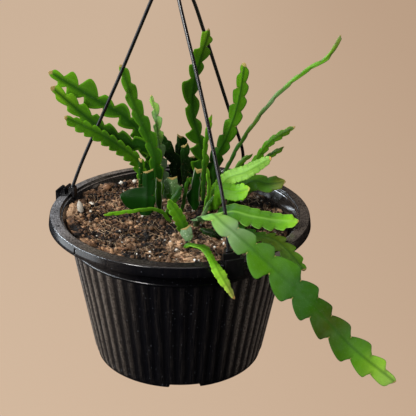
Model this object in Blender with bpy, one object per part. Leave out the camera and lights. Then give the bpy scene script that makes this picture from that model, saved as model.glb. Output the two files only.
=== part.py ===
"""Fishbone cactus in a black plastic hanging pot, built at its real size.

The origin is the seat of the hook, the point that the whole thing hangs from. +X is to
the right, +Y away from the viewer and +Z up. Sizes are in millimetres up to the point
where a mesh is made, and heights of the pot, the soil and the stems are measured from
the top of the rim, at the middle of the pot.
"""

import math
from dataclasses import dataclass

import bmesh
import bpy
import numpy as np
from mathutils import Matrix, Vector

MM = 0.001
GAP = 0.3                      # left between pieces that touch

# Where the pot hangs under the seat of the hook
RIM_DROP = 290.0               # from the hook's seat down to the top of the rim
POT_SHIFT = 9.5                # the pot's axis lies to the right of the hook
HUB_DROP = 40.0                # from the hook's seat to the middle of the hub

# Pot
RIM_R = 127.5
RIM_INNER_R = 118.0
BAND_R = 129.2
BAND_HEIGHT = 9.5
BAND_WALL = 2.0
BEAD_Z = -28.0
BODY_TOP_R = 107.0             # at BODY_TOP_Z, in the middle of the flutes
BODY_TOP_Z = -30.0
POT_HEIGHT = 152.0
FOOT_R = 84.3
FOOT_HEIGHT = 5.0
FOOT_WIDTH = 3.0
FOOT_NOTCH_ANGLE = -84.5
WALL = 1.8
FLUTES = 54
FLUTE_DEPTH = 0.9              # each way from the middle of the wall's face
FLOOR_TOP_Z = -POT_HEIGHT + FOOT_HEIGHT + 2.2

# Soil
SOIL_Z = -10.0
SOIL_LEAN = 0.02               # the soil lies higher on the left
SOIL_BUMP = 2.0
STALK_DEPTH = 15.0             # how far a stalk stands in its hole
SOIL_RINGS = 7
SOIL_SPOKES = 34

# Hanger
STRAND_R = 1.7
HUB_R = 7.0
HUB_HEIGHT = 14.0
HOOK_WIRE_R = 2.8
HOOK_R = 13.0                  # from the middle of the loop to the middle of its wire
CLIP_HALF_ANGLE = 3.8
CLIP_LEG_HALF_ANGLE = 1.7
CLIP_RISE = 9.0                # from the rim up to where the strand leaves the clip
STRANDS = {
    # angle of the clip round the rim, then points of the strand between hub and clip
    "strand_left": (162.5, ((-28, 8, 207), (-61, 21, 127), (-97, 33, 44))),
    "strand_front": (-66.5, ((-2, -17, 212), (13, -41, 159), (27, -64, 107), (42, -94, 44))),
    "strand_back": (57.2, ((9, 21, 207), (21, 37, 169), (46, 70, 85), (62, 89, 34))),
}

CAMERA_SIDE = (0.0, -0.92, 0.39)


@dataclass(frozen=True)
class Stem:
    """One leafy stem: a flat lobed blade on a round stalk that stands in the soil."""

    name: str
    root: tuple                # x, y of the stalk
    path: tuple                # points of the midrib above the soil, root to tip
    left: tuple                # half width at the notches, then at the tip of each lobe in turn
    right: tuple
    pitch: float               # from one lobe to the next on the same side
    face: tuple = CAMERA_SIDE  # way the broad side looks near the root
    face_tip: tuple = None     # and near the tip
    tone: str = "mid"
    phase: float = 0.0         # shifts the lobes, as a part of the pitch
    left_notches: tuple = ()   # where lobes of uneven length part, along the midrib
    right_notches: tuple = ()
    left_waists: tuple = ()    # half width at each notch in turn, where it varies
    right_waists: tuple = ()
    lean: tuple = (0.11, 0.11)     # how far lobes lean ahead, left and right, as a part of their length
    cut: bool = False          # a stump, cut off square
    stalk: float = 2.3
    ramp: float = 12.0         # length over which the stalk widens to the blade
    taper: float = 10.0        # length over which the lobes shrink towards the tip
    round_off: float = 1.0     # below 1 for lobes with blunter ends
    cup: float = 0.0           # how far the margins bend forward at full width


STEMS = (
    # left group, behind and in front of the left strand
    Stem("stem_left_high", (-30, 72), ((-38, 68, 46), (-59, 64, 74), (-85, 60, 92), (-133, 55, 123)),
         (3.8, 10.5, 12, 12, 8, 4), (3.8, 11, 9.5, 15.5, 12.5, 6), 20.0, lean=(0.11, 0.07),
         left_notches=(97, 117, 139, 159, 169), right_notches=(87, 107, 126, 149, 166)),
    Stem("stem_left_middle", (-22, 60), ((-33, 56, 40), (-54, 50, 51), (-84, 43, 71), (-128, 34, 114)),
         (4.4, 7.6), (5.0, 9.5), 17.0, tone="dark", phase=0.1, taper=30.0),
    Stem("stem_left_low", (-38, 46), ((-42, 42, 30), (-57, 34, 50), (-81, 22, 71), (-113, 12, 91)),
         (6.0, 9.0), (3.6, 5.8), 10.5, tone="light", taper=25.0, ramp=45.0),
    Stem("stem_left_upright", (-26, 42), ((-27, 40, 33), (-31, 40, 54), (-47, 40, 94), (-60, 40, 136)),
         (3.8, 6.2), (5.2, 8.4), 18.0, phase=0.2, taper=40.0),
    Stem("stem_left_pale", (-17, 54), ((-21, 54, 29), (-24.5, 54, 58), (-27.5, 54, 84), (-32, 54, 101)),
         (1.2, 4.0), (2.4, 6.0), 15.0, tone="grey", phase=0.5, taper=25.0),
    # middle group
    Stem("stem_centre_tall", (17, 62), ((20, 58, 37), (10, 46, 83), (11, 30, 123), (25, 8, 181)),
         (3.6, 12, 7, 12, 9, 9, 6), (3.6, 8, 9, 8.5, 8, 10, 8, 4), 20.0, lean=(0.16, 0.02), tone="dark", face=(0.2, -0.9, 0.3),
         face_tip=(0.5, -0.8, 0.3), left_notches=(63, 82, 112, 145, 163, 182),
         right_notches=(71, 92, 122, 145, 164, 182, 195)),
    Stem("stem_centre_slim", (22, 48), ((23, 46, 36), (24, 44, 56), (29, 42, 86)),
         (1.8, 2.9), (1.8, 2.9), 12.0, tone="light", stalk=2.0),
    Stem("stem_centre_crenate", (34, 70), ((33, 68, 24), (46, 64, 57), (56, 59, 94), (61, 54, 136)),
         (4.8, 7.8), (5.0, 8.2), 17.0, lean=(0.11, 0.08), tone="dark", taper=40.0, left_notches=(70, 89, 107, 125, 142),
         right_notches=(64, 83, 100, 117, 132)),
    Stem("stump_back_left", (-8, 78), ((-7, 78, 18), (-16, 80, 36), (-24, 82, 50)),
         (5.0, 8), (4.0, 6.5), 16.0, tone="deep"),
    Stem("stump_back_cut", (-2, 90), ((-4, 90, 19), (-3, 90, 45)),
         (3.5, 5), (3.5, 8), 18.0, tone="deep", cut=True, phase=0.3),
    Stem("stump_back_middle", (4, 70), ((3, 70, 13), (2, 70, 42)),
         (3.5, 4.5), (3.5, 7), 18.0, tone="deep", cut=True, phase=0.2),
    Stem("stump_back_right", (14, 84), ((12, 84, 4), (12, 84, 25)),
         (4.5, 5.5), (4.5, 5.5), 18.0, tone="deep", cut=True),
    # right group
    Stem("stem_right_whip", (36, 52), ((48, 50, 31), (66, 44, 68), (91, 36, 107), (116.5, 28, 134.5), (139, 22, 152.7),
                                      (149.3, 18, 174.6)),
         (1.5, 2.4), (1.4, 2.4), 24.0, tone="mid", ramp=20.0),
    Stem("stem_right_upper", (44, 60), ((74.8, 56, 32.2), (89.1, 52, 54.6), (113, 46, 74)),
         (2.8, 4.0), (2.8, 4.4), 10.0, taper=20.0),
    Stem("stem_right_short", (54, 68), ((82, 64, 28), (104, 60, 47)),
         (2.0, 2.6), (2.4, 3.4), 9.0),
    Stem("stem_right_bud", (44, 76), ((59, 75, 21), (73, 75, 33)),
         (1.8, 2.4), (2.4, 3.2), 10.0, tone="mid"),
    Stem("stem_right_broad", (30, 30), ((43.5, 20, 23.5), (65.4, 10, 38.6), (88, 2, 56.5)),
         (6.8, 7.8), (6.4, 7.6), 7.0, tone="pale", taper=38.0, face=(0.1, -0.8, 0.6)),
    Stem("stem_right_small", (26, 20), ((40, 10, 16.5), (55, 4, 19), (68, -2, 25.5)),
         (6.5, 8), (7.5, 9.5), 6.0, tone="pale", face=(0.0, -0.8, 0.6)),
    Stem("stem_right_olive", (48, 40), ((70, 40, 15), (88, 34, 16), (105, 30, 20)),
         (6.5, 8), (6.5, 7, 8, 9, 10.5, 9, 6.5, 4.5), 13.0, right_waists=(6, 7, 8, 9.5, 9, 7, 4.5),
         tone="olive", face=(0.0, -0.8, 0.6)),
    Stem("stem_right_arching", (36, 0), ((50, -16, 6), (70, -26, 6), (92, -34, 6), (114, -42, 9)),
         (7.4, 8, 8, 8.4, 8.6, 8.6, 8, 7.4, 6.8, 6), (8.5, 12, 12, 12, 12, 12, 12, 12, 10.5, 7.5), 11.5,
         left_waists=(7, 7.5, 8, 8, 8, 7.4, 6.8, 6.2, 5.4), right_waists=(8.5, 8.5, 8.5, 8.5, 8.5, 8.5, 8.5, 8.5, 7.5, 5.5),
         tone="bright", face=(0.0, -0.7, 0.7), cup=1.5),
    Stem("stem_trailing", (16, -14),
         ((24, -69, 21), (31, -109, 43), (42, -127, 41.5), (65, -142, 27), (118, -156, -19), (156, -152, -62),
          (199, -145, -102)),
         (6, 11.3, 12.2, 15.3, 18, 15.9, 12.8, 13.3, 13.5, 10.2, 5.5),
         (5.6, 9.8, 12.4, 17.4, 17, 17, 16, 16.8, 15, 10.6), 26.0, lean=(0.09, 0.11),
         left_waists=(6.5, 6.8, 7.2, 10.3, 10, 9.3, 6.9, 6.6, 6.5, 4.2),
         right_waists=(5.6, 6.5, 5.8, 6, 8, 9.2, 9.2, 9.2, 8.2),
         tone="glaucous", taper=20.0, ramp=38.0, stalk=2.8,
         face=(0.0, -0.5, 0.85), face_tip=(0.3, -0.9, 0.3),
         left_notches=(120, 144, 165, 184, 215, 236.5, 257, 287, 316.5, 337),
         right_notches=(122, 143, 164, 190, 219, 242, 269, 300, 326)),
    Stem("stem_trailing_back", (40, -18), ((70, -52, -3), (83, -70, 4), (95, -88, 5), (114, -118, -5)),
         (5.5, 9.5), (5.5, 9.5), 15.0, tone="mid", taper=30.0, face=(0.0, -0.4, 0.9)),
    # front group
    Stem("stem_front_young", (6, -43), ((3, -45, 9), (-10, -43, 30)),
         (6.0, 7.5), (3.6, 4.6), 7.0, tone="lime", taper=16.0, ramp=9.0),
    Stem("stump_front_pad", (9, -54), ((9, -54, -5), (7, -52, 4)),
         (5.0, 6.5), (5.0, 6.5), 16.0, tone="grey", cut=True, ramp=6.0),
    Stem("stem_front_over_rim", (7, -64), ((14, -74, -3), (25, -106, 8), (31.7, -124, 6.5), (38.1, -138, 0.9), (52, -142, -22)),
         (3.2, 4, 4, 5, 7, 7.5, 6, 4, 3.6, 3.8, 5, 6, 6, 5), (3, 3.4, 3.4, 3.4, 3.4, 3.6, 3.6, 3.4, 3.4, 3.6, 4.4, 5.4, 5.6, 4.6), 8.5,
         left_waists=(3.2, 3.2, 3.4, 4.2, 4.6, 4.2, 3, 2.6, 2.6, 3, 4, 4.4, 4, 3.2),
         right_waists=(3, 3, 3, 3, 3, 3, 2.6, 2.6, 2.6, 2.8, 3.4, 4, 4, 3.4), tone="lime", taper=30.0, face=(0.2, -0.6, 0.8), ramp=9.0),
    Stem("stump_front_lobed", (-34, 2), ((-33, 1, 8), (-33, 4, 19), (-33, 8, 37)),
         (6.0, 26.5, 4.6), (6.0, 8), 16.0, lean=(0.07, 0.11), left_waists=(6.0, 4.0), tone="mid", cut=True, ramp=8.0, stalk=2.8, left_notches=(5, 32), round_off=0.5),
    Stem("stump_front_left", (-41, 17), ((-40, 15, 31), (-40, 15, 47)),
         (1.7, 2.1), (1.7, 2.1), 12.0, tone="dark", cut=True, stalk=2.0),
    Stem("stump_folded", (-21, 17), ((-22, 15, 5), (-22, 15, 26)),
         (2.8, 3.6), (2.8, 3.6), 14.0, tone="mid", cut=True, stalk=2.0),
    Stem("stem_front_creeping", (-10, -8), ((-22, -13, 6), (-47, -20, 7), (-74, -24, 4)),
         (1.7, 2.5), (1.3, 1.6), 13.0, tone="light", stalk=2.0, ramp=9.0),
    Stem("stem_front_leaf", (-14, 4), ((-8, 4, 8), (1, 8, 23)),
         (2.0, 2.6), (3.2, 4.2), 9.0, tone="light", stalk=2.0, ramp=8.0),
    Stem("stump_grey", (-12, 28), ((-8, 27, 4), (-9, 26, 23)),
         (5.0, 9.5), (5.0, 8.5), 20.0, tone="grey", cut=True, phase=0.1),
    Stem("stump_centre", (14, 22), ((14, 20, 0), (13, 19, 15), (16, 19, 35)),
         (4.0, 8, 3.2), (4.5, 6), 26.0, left_waists=(4.0, 3.2), tone="deep", cut=True, ramp=8.0),
    Stem("stem_centre_thread", (24, 6), ((25, 8, 2), (28, 10, 18), (26, 10, 42)),
         (1.5, 2.1), (1.5, 2.1), 12.0, tone="light", stalk=1.6, ramp=6.0),
    Stem("stem_left_thread", (1, 13), ((4, 13, 10), (7, 13, 31)),
         (1.4, 2.0), (1.4, 2.0), 12.0, tone="dark", stalk=1.6, ramp=6.0),
    Stem("stem_pale_stalk", (23, -6), ((24, -4, 0), (33, 3, 16)),
         (1.5, 2.0), (1.5, 2.0), 12.0, tone="grey", stalk=1.6, ramp=6.0),
    Stem("stem_dark_low", (40, -40), ((34, -46, -4), (19, -42, -1)),
         (2.6, 3.6), (2.6, 3.6), 8.0, tone="deep", stalk=1.8, ramp=7.0),
)

GREENS = {
    "deep": (0.020, 0.075, 0.014),
    "dark": (0.030, 0.130, 0.016),
    "mid": (0.070, 0.230, 0.022),
    "bright": (0.150, 0.400, 0.035),
    "light": (0.130, 0.300, 0.050),
    "lime": (0.250, 0.480, 0.030),
    "pale": (0.230, 0.480, 0.075),
    "olive": (0.120, 0.200, 0.040),
    "grey": (0.150, 0.270, 0.120),
    "glaucous": (0.130, 0.310, 0.080),
}


def clear_scene():
    """Remove whatever the open file holds."""
    for thing in list(bpy.data.objects):
        bpy.data.objects.remove(thing, do_unlink=True)


def make_collection(name):
    """Return a new collection, linked to the scene."""
    collection = bpy.data.collections.new(name)
    bpy.context.scene.collection.children.link(collection)
    return collection


def make_material(name, colour, roughness):
    """Return a Principled material without metal in it."""
    material = bpy.data.materials.new(name)
    material.use_nodes = True
    shader = material.node_tree.nodes["Principled BSDF"]
    shader.inputs["Base Color"].default_value = (*colour, 1.0)
    shader.inputs["Roughness"].default_value = roughness
    shader.inputs["Metallic"].default_value = 0.0
    return material


def place(points):
    """Turn millimetres from the middle of the rim into metres from the hook's seat."""
    return (np.asarray(points, float) + (POT_SHIFT, 0.0, -RIM_DROP)) * MM


def add_mesh(name, points, faces, material, collection):
    """Link a mesh object whose points are in metres, shaded smooth but for its edges."""
    mesh = bpy.data.meshes.new(name)
    mesh.from_pydata([tuple(p) for p in points], [], faces)
    mesh.materials.append(material)
    mesh.shade_smooth()
    mesh.set_sharp_from_angle(angle=math.radians(35))
    thing = bpy.data.objects.new(name, mesh)
    collection.objects.link(thing)
    return thing


def curve_to_mesh(curve_object):
    """Swap a curve object for a mesh with its caps welded on, and return it."""
    graph = bpy.context.evaluated_depsgraph_get()
    mesh = bpy.data.meshes.new_from_object(curve_object.evaluated_get(graph))
    welded = bmesh.new()
    welded.from_mesh(mesh)
    bmesh.ops.remove_doubles(welded, verts=welded.verts, dist=1e-5)
    welded.to_mesh(mesh)
    welded.free()
    thing = bpy.data.objects.new(curve_object.name + "_mesh", mesh)
    thing.matrix_world = curve_object.matrix_world
    for collection in curve_object.users_collection:
        collection.objects.link(thing)
    bpy.data.objects.remove(curve_object, do_unlink=True)
    return thing


def add_tube(name, points, radius, collection, sides_resolution=1):
    """Link a round tube along points in metres, as a mesh with filled ends."""
    curve = bpy.data.curves.new(name, "CURVE")
    curve.dimensions = "3D"
    curve.bevel_depth = radius
    curve.bevel_resolution = sides_resolution
    curve.use_fill_caps = True
    spline = curve.splines.new("POLY")
    spline.points.add(len(points) - 1)
    for point, target in zip(spline.points, points):
        point.co = (*target, 1.0)
    thing = bpy.data.objects.new(name, curve)
    collection.objects.link(thing)
    return curve_to_mesh(thing)


def boolean(target, other, operation):
    """Apply one exact Boolean to target and remove the other object."""
    modifier = target.modifiers.new(operation.lower(), "BOOLEAN")
    modifier.operation = operation
    modifier.solver = "EXACT"
    modifier.object = other
    graph = bpy.context.evaluated_depsgraph_get()
    mesh = bpy.data.meshes.new_from_object(target.evaluated_get(graph))
    target.modifiers.clear()
    target.data = mesh
    bpy.data.objects.remove(other, do_unlink=True)


def hide_cutter(thing):
    """Mark an object as a cutter only."""
    thing.hide_render = True
    thing.display_type = "WIRE"
    return thing


def cylinder(name, start, direction, radius, length, sides, collection):
    """Link a capped cylinder from start along direction, all in metres."""
    shape = bmesh.new()
    turn = Vector((0, 0, 1)).rotation_difference(Vector(direction).normalized()).to_matrix().to_4x4()
    middle = Vector(start) + Vector(direction).normalized() * length / 2
    bmesh.ops.create_cone(shape, cap_ends=True, segments=sides, radius1=radius, radius2=radius,
                          depth=length, matrix=Matrix.Translation(middle) @ turn)
    mesh = bpy.data.meshes.new(name)
    shape.to_mesh(mesh)
    shape.free()
    thing = bpy.data.objects.new(name, mesh)
    collection.objects.link(thing)
    return thing


def box(name, start, outward, size, collection):
    """Link a box that runs from start along a level direction; size is length, width, height."""
    shape = bmesh.new()
    bmesh.ops.create_cube(shape, size=1.0)
    length, width, height = size
    bmesh.ops.scale(shape, vec=(length, width, height), verts=shape.verts)
    turn = Matrix.Rotation(math.atan2(outward[1], outward[0]), 4, "Z")
    middle = Vector(start) + Vector(outward) * length / 2
    bmesh.ops.transform(shape, matrix=Matrix.Translation(middle) @ turn, verts=shape.verts)
    mesh = bpy.data.meshes.new(name)
    shape.to_mesh(mesh)
    shape.free()
    thing = bpy.data.objects.new(name, mesh)
    collection.objects.link(thing)
    return thing


def wall_radius(z):
    """Outer radius of the pot's plain cone at height z, in the middle of the flutes."""
    slope = (BODY_TOP_R - FOOT_R) / (BODY_TOP_Z + POT_HEIGHT)
    return BODY_TOP_R + slope * (z - BODY_TOP_Z)


def inner_radius(z):
    """Inner radius of the pot's wall below its sloping shoulder."""
    return wall_radius(z) - WALL


def pot_profile():
    """Rings of the pot from the middle of its underside, up outside and down inside.

    Each ring is (radius, height, flute depth).
    """
    z_floor = -POT_HEIGHT + FOOT_HEIGHT
    foot_in = FOOT_R - FOOT_WIDTH
    band_z = -BAND_HEIGHT
    return (
        (20.0, z_floor, 0.0),
        (foot_in - 1.0, z_floor, 0.0),
        (foot_in, -POT_HEIGHT, 0.0),
        (FOOT_R - 0.4, -POT_HEIGHT, 0.0),
        (FOOT_R, -POT_HEIGHT + FOOT_HEIGHT, 0.0),
        (wall_radius(-143.0), -143.0, FLUTE_DEPTH),
        (wall_radius(BODY_TOP_Z - 1.5), BODY_TOP_Z - 1.5, FLUTE_DEPTH),
        (wall_radius(BEAD_Z) + 0.9, BEAD_Z - 1.0, 0.0),
        (wall_radius(BEAD_Z) + 0.9, BEAD_Z + 0.4, 0.0),
        (wall_radius(BEAD_Z) + 0.2, BEAD_Z + 1.0, 0.0),
        (wall_radius(band_z - 3.0) + 0.5, band_z - 3.0, 0.0),
        (RIM_INNER_R, -3.4, 0.0),
        (BAND_R - BAND_WALL, -2.4, 0.0),
        (BAND_R - BAND_WALL, band_z, 0.0),
        (BAND_R, band_z, 0.0),
        (RIM_R + 0.5, -0.8, 0.0),
        (RIM_R - 0.4, 0.0, 0.0),
        (RIM_INNER_R, 0.8, 0.0),
        (RIM_INNER_R - 0.7, -1.6, 0.0),
        (RIM_INNER_R - 2.6, -2.0, 0.0),
        (inner_radius(band_z - 2.0), band_z - 2.0, 0.0),
        (inner_radius(FLOOR_TOP_Z), FLOOR_TOP_Z, 0.0),
    )


def bridge(low, low_count, high, high_count):
    """Faces between two rings, one of which may have twice as many points."""
    if low_count == high_count:
        turns = [(i, (i + 1) % low_count) for i in range(low_count)]
        return [(low + i, low + j, high + j, high + i) for i, j in turns]
    fine, coarse, count = (low, high, high_count) if low_count > high_count else (high, low, low_count)
    faces = []
    for i in range(count):
        here, after = coarse + i, coarse + (i + 1) % count
        a, b, c = fine + 2 * i, fine + 2 * i + 1, fine + (2 * i + 2) % (2 * count)
        faces += [(a, b, here), (b, after, here), (b, c, after)]
    return faces if fine == low else [face[::-1] for face in faces]


def build_pot(collection, cutters):
    """Loft the fluted pot and cut its drainage holes, rim holes, band slots and foot notches."""
    rings = []
    for radius, z, depth in pot_profile():
        count = 2 * FLUTES if depth else FLUTES
        angles = np.arange(count) * math.tau / count
        r = radius + depth * np.where(np.arange(count) % 2 == 0, 1.0, -1.0) if depth else np.full(count, radius)
        rings.append(np.stack([r * np.cos(angles), r * np.sin(angles), np.full(count, z)], axis=1))
    points = np.concatenate(rings + [[(0, 0, rings[0][0, 2])], [(0, 0, rings[-1][0, 2])]])
    below, above = len(points) - 2, len(points) - 1
    starts = np.cumsum([0] + [len(ring) for ring in rings])
    faces = []
    for i in range(len(rings) - 1):
        faces += bridge(int(starts[i]), len(rings[i]), int(starts[i + 1]), len(rings[i + 1]))
    last = int(starts[-2])
    for i in range(FLUTES):
        j = (i + 1) % FLUTES
        faces.append((below, j, i))
        faces.append((above, last + i, last + j))
    material = make_material("pot_plastic", (0.016, 0.016, 0.019), 0.38)
    pot = add_mesh("pot", place(points), faces, material, collection)
    floor_z = -POT_HEIGHT + FOOT_HEIGHT - 3.0
    for i in range(6):
        angle = math.tau * (i + 0.5) / 6
        start = place((60 * math.cos(angle), 60 * math.sin(angle), floor_z))
        boolean(pot, hide_cutter(cylinder("drain", start, (0, 0, 1), 4 * MM, 10 * MM, 8, cutters)),
                "DIFFERENCE")
    for degrees in (-159.0, -34.4, 100.0):
        angle = math.radians(degrees)
        start = place((122.5 * math.cos(angle), 122.5 * math.sin(angle), -8.0))
        boolean(pot, hide_cutter(cylinder("rim_hole", start, (0, 0, 1), 1.3 * MM, 12 * MM, 8, cutters)),
                "DIFFERENCE")
    for degrees in (-137.0, 1.0, 110.0):
        angle = math.radians(degrees)
        start = place((125.6 * math.cos(angle), 125.6 * math.sin(angle), -5.0))
        outward = (math.cos(angle), math.sin(angle), 0)
        boolean(pot, hide_cutter(cylinder("band_slot", start, outward, 1.8 * MM, 9 * MM, 6, cutters)),
                "DIFFERENCE")
    for i in range(3):
        angle = math.tau * i / 3 + math.radians(FOOT_NOTCH_ANGLE)
        start = place((0.85 * FOOT_R * math.cos(angle), 0.85 * FOOT_R * math.sin(angle), -POT_HEIGHT - 8.0))
        outward = (math.cos(angle), math.sin(angle), 0)
        notch = box("foot_notch", start, outward, (22 * MM, 30 * MM, 23 * MM), cutters)
        boolean(pot, hide_cutter(notch), "DIFFERENCE")
    return pot


def soil_height(x, y):
    """Bumpy top of the soil, level round every stalk and at the wall."""
    bumps = (np.sin(0.21 * x + 1.3) * np.cos(0.17 * y) + 0.6 * np.sin(0.43 * y - 0.31 * x)
             + 0.5 * np.cos(0.39 * x + 0.27 * y + 2.0)) / 2.1
    nearest = np.full(np.shape(x), 1e9)
    for stem in STEMS:
        nearest = np.minimum(nearest, (x - stem.root[0]) ** 2 + (y - stem.root[1]) ** 2)
    free = 1.0 - np.exp(-nearest / 64.0)
    return SOIL_Z - SOIL_LEAN * x + SOIL_BUMP * free * bumps


def soil_at(stem):
    """Height of the soil at the foot of a stem."""
    return SOIL_Z - SOIL_LEAN * stem.root[0]


def build_soil(collection, cutters):
    """Fill the pot with soil that has a plain round hole for each stalk."""
    top_r = inner_radius(-14.0) - GAP - 0.2
    low_z = FLOOR_TOP_Z + GAP
    low_r = inner_radius(low_z) - GAP - 0.2
    angles = np.arange(SOIL_SPOKES) * math.tau / SOIL_SPOKES
    rings = [np.array([(low_r * math.cos(a), low_r * math.sin(a), low_z) for a in angles])]
    for ring in range(SOIL_RINGS):
        r = top_r * (1 - ring / SOIL_RINGS)
        x, y = r * np.cos(angles), r * np.sin(angles)
        z = SOIL_Z - SOIL_LEAN * x - 1.0 if ring == 0 else soil_height(x, y)
        rings.append(np.stack([x, y, z], axis=1))
    middle = float(soil_height(np.zeros(1), np.zeros(1))[0])
    points = np.concatenate(rings + [[(0, 0, low_z)], [(0, 0, middle)]])
    below, above = len(points) - 2, len(points) - 1
    last = (len(rings) - 1) * SOIL_SPOKES
    faces = []
    for i in range(SOIL_SPOKES):
        j = (i + 1) % SOIL_SPOKES
        for ring in range(len(rings) - 1):
            low, high = ring * SOIL_SPOKES, (ring + 1) * SOIL_SPOKES
            faces.append((low + i, low + j, high + j))
            faces.append((low + i, high + j, high + i))
        faces.append((below, j, i))
        faces.append((above, last + i, last + j))
    material = make_material("soil", (0.130, 0.072, 0.038), 0.95)
    soil = add_mesh("soil", place(points), faces, material, collection)
    sides = 8
    for stem in STEMS:
        radius = (stem.stalk + GAP) / math.cos(math.pi / sides)
        start = place((*stem.root, soil_at(stem) - STALK_DEPTH - GAP))
        hole = cylinder("hole", start, (0, 0, 1), radius * MM, (STALK_DEPTH + 8) * MM, sides, cutters)
        boolean(soil, hide_cutter(hole), "DIFFERENCE")
    return soil


def smooth_path(points, step):
    """Sample a smooth curve through points, evenly spaced by about step.

    Returns the samples, their tangents and their distances along the curve.
    """
    knots = np.asarray(points, float)
    reach = np.linalg.norm(knots[1] - knots[0])
    before = knots[0] - (0, 0, reach)
    after = 2 * knots[-1] - knots[-2]
    ext = np.vstack([before, knots, after])
    fine = []
    t = np.linspace(0, 1, 24, endpoint=False)[:, None]
    for i in range(1, len(ext) - 2):
        a, b, c, d = ext[i - 1:i + 3]
        fine.append(0.5 * (2 * b + (c - a) * t + (2 * a - 5 * b + 4 * c - d) * t ** 2
                           + (3 * b - a - 3 * c + d) * t ** 3))
    fine = np.vstack(fine + [knots[-1:]])
    along = np.concatenate([[0.0], np.cumsum(np.linalg.norm(np.diff(fine, axis=0), axis=1))])
    rows = max(4, int(round(along[-1] / step)))
    s = np.linspace(0, along[-1], rows + 1)
    samples = np.stack([np.interp(s, along, fine[:, k]) for k in range(3)], axis=1)
    tangents = np.gradient(samples, s, axis=0)
    tangents[0] = (0, 0, 1)
    return samples, tangents / np.linalg.norm(tangents, axis=1)[:, None], s


def lobe_turns(s, notches, pitch, phase):
    """Count the lobes passed at each distance s along the midrib, with parts of a lobe."""
    if not notches:
        return s / pitch + phase
    marks = [notches[0] - 9 * pitch, *notches, notches[-1] + 9 * pitch]
    counts = [-9, *range(len(notches)), len(notches) + 8]
    return np.interp(s, marks, counts)


def lobe_width(turns, widths, waists, reach, round_off=1.0):
    """Half width of a margin; the last width given holds for all lobes after it."""
    number = np.clip(np.floor(turns).astype(int), 0, len(widths) - 2)
    wide = np.array(widths[1:], float)[number]
    waist = np.interp(turns, np.arange(len(waists)), waists) if waists else widths[0]
    return waist + (wide - waist) * np.abs(np.sin(np.pi * (turns % 1.0))) ** round_off * reach


def place_rows(s, turns):
    """Move the row nearest to each notch, and to each lobe's tip, right onto it."""
    places = s.copy()
    halves = np.arange(math.ceil(2 * turns[1]), math.floor(2 * turns[-2]) + 1) / 2
    for mark in np.interp(halves, turns, s):
        places[np.argmin(np.abs(s - mark))] = mark
    return places


def ease(value):
    """Smooth step from 0 to 1."""
    v = np.clip(value, 0.0, 1.0)
    return v * v * (3 - 2 * v)


def stem_sections(stem):
    """Six points for each cross-section of a stem, from the foot of its stalk to its tip."""
    start = (*stem.root, soil_at(stem))
    rows_per_lobe = 4 if stem.pitch > 9.0 else 3
    centre, tangent, s = smooth_path((start, *stem.path), stem.pitch / rows_per_lobe)
    length = s[-1]
    tip_face = stem.face_tip or stem.face
    mix = (s / length)[:, None]
    face = np.array(stem.face) * (1 - mix) + np.array(tip_face) * mix
    face = face - np.sum(face * tangent, axis=1)[:, None] * tangent
    face /= np.linalg.norm(face, axis=1)[:, None]
    side = np.cross(tangent, face)

    def shrink(along):
        """Share of the full width left near the tip, and of the lobes' depth near a cut."""
        left_over = length - along
        if stem.cut:
            return np.ones_like(along), ease(left_over / 9.0)
        rounded = np.sqrt(np.clip(left_over / 7.0, 0.012, 1.0))
        return rounded * (0.6 + 0.4 * ease(left_over / stem.taper)), np.ones_like(along)

    blade = ease((s - 1.0) / stem.ramp)
    tip = shrink(s)[0]
    half_rib = (stem.stalk * (1 - blade) + 1.5 * blade) * np.maximum(tip, 0.5)
    sections = []
    margins = (
        (-1, stem.left, stem.left_waists, stem.left_notches, stem.phase, stem.lean[0]),
        (1, stem.right, stem.right_waists, stem.right_notches, stem.phase + 0.5, stem.lean[1]),
    )
    for sign, widths, waists, notches, phase, lean in margins:
        rows = place_rows(s, lobe_turns(s, notches, stem.pitch, phase))
        turns = lobe_turns(rows, notches, stem.pitch, phase)
        tip, reach = shrink(rows)
        blade = ease((rows - 1.0) / stem.ramp)
        width = lobe_width(turns, widths, waists, reach, stem.round_off)
        width = (0.87 * stem.stalk * (1 - blade) + width * blade) * tip
        shift = lean * (1 - np.cos(math.tau * turns)) / np.gradient(turns, rows) * blade * tip
        bend = stem.cup * blade * (width / widths[1]) ** 2
        half_edge = (0.5 * stem.stalk * (1 - blade) + 0.75 * blade) * np.maximum(tip, 0.6)
        here, ahead, outward, front = (
            np.stack([np.interp(rows, s, values[:, k]) for k in range(3)], axis=1)
            for values in (centre, tangent, side, face))
        middle = here + outward * (sign * width)[:, None] + ahead * shift[:, None] + front * bend[:, None]
        sections.append((middle + front * half_edge[:, None], middle - front * half_edge[:, None]))
    rib = (centre + face * half_rib[:, None], centre - face * half_rib[:, None])
    (left_top, left_low), (right_top, right_low) = sections
    rows = np.stack([left_top, rib[0], right_top, right_low, rib[1], left_low], axis=1)
    foot = rows[0] - (0, 0, STALK_DEPTH)
    return np.concatenate([foot[None], rows])


def build_stem(stem, collection):
    """Skin the sections of one stem with triangles that match on both faces."""
    rows = stem_sections(stem)
    count = len(rows)
    faces = []
    for row in range(count - 1):
        a, b = 6 * row, 6 * (row + 1)
        for i in range(6):
            j = (i + 1) % 6
            if i in (0, 1, 2):
                faces.append((a + i, a + j, b + i))
                faces.append((a + j, b + j, b + i))
            else:
                faces.append((a + i, a + j, b + j))
                faces.append((a + i, b + j, b + i))
    end = 6 * (count - 1)
    faces += [(0, 5, 1), (5, 4, 1), (4, 3, 1), (3, 2, 1)]
    faces += [(end, end + 1, end + 5), (end + 5, end + 1, end + 4), (end + 4, end + 1, end + 3),
              (end + 3, end + 1, end + 2)]
    material = make_material("green_" + stem.name, GREENS[stem.tone], 0.45)
    return add_mesh(stem.name, place(rows.reshape(-1, 3)), faces, material, collection)


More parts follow.
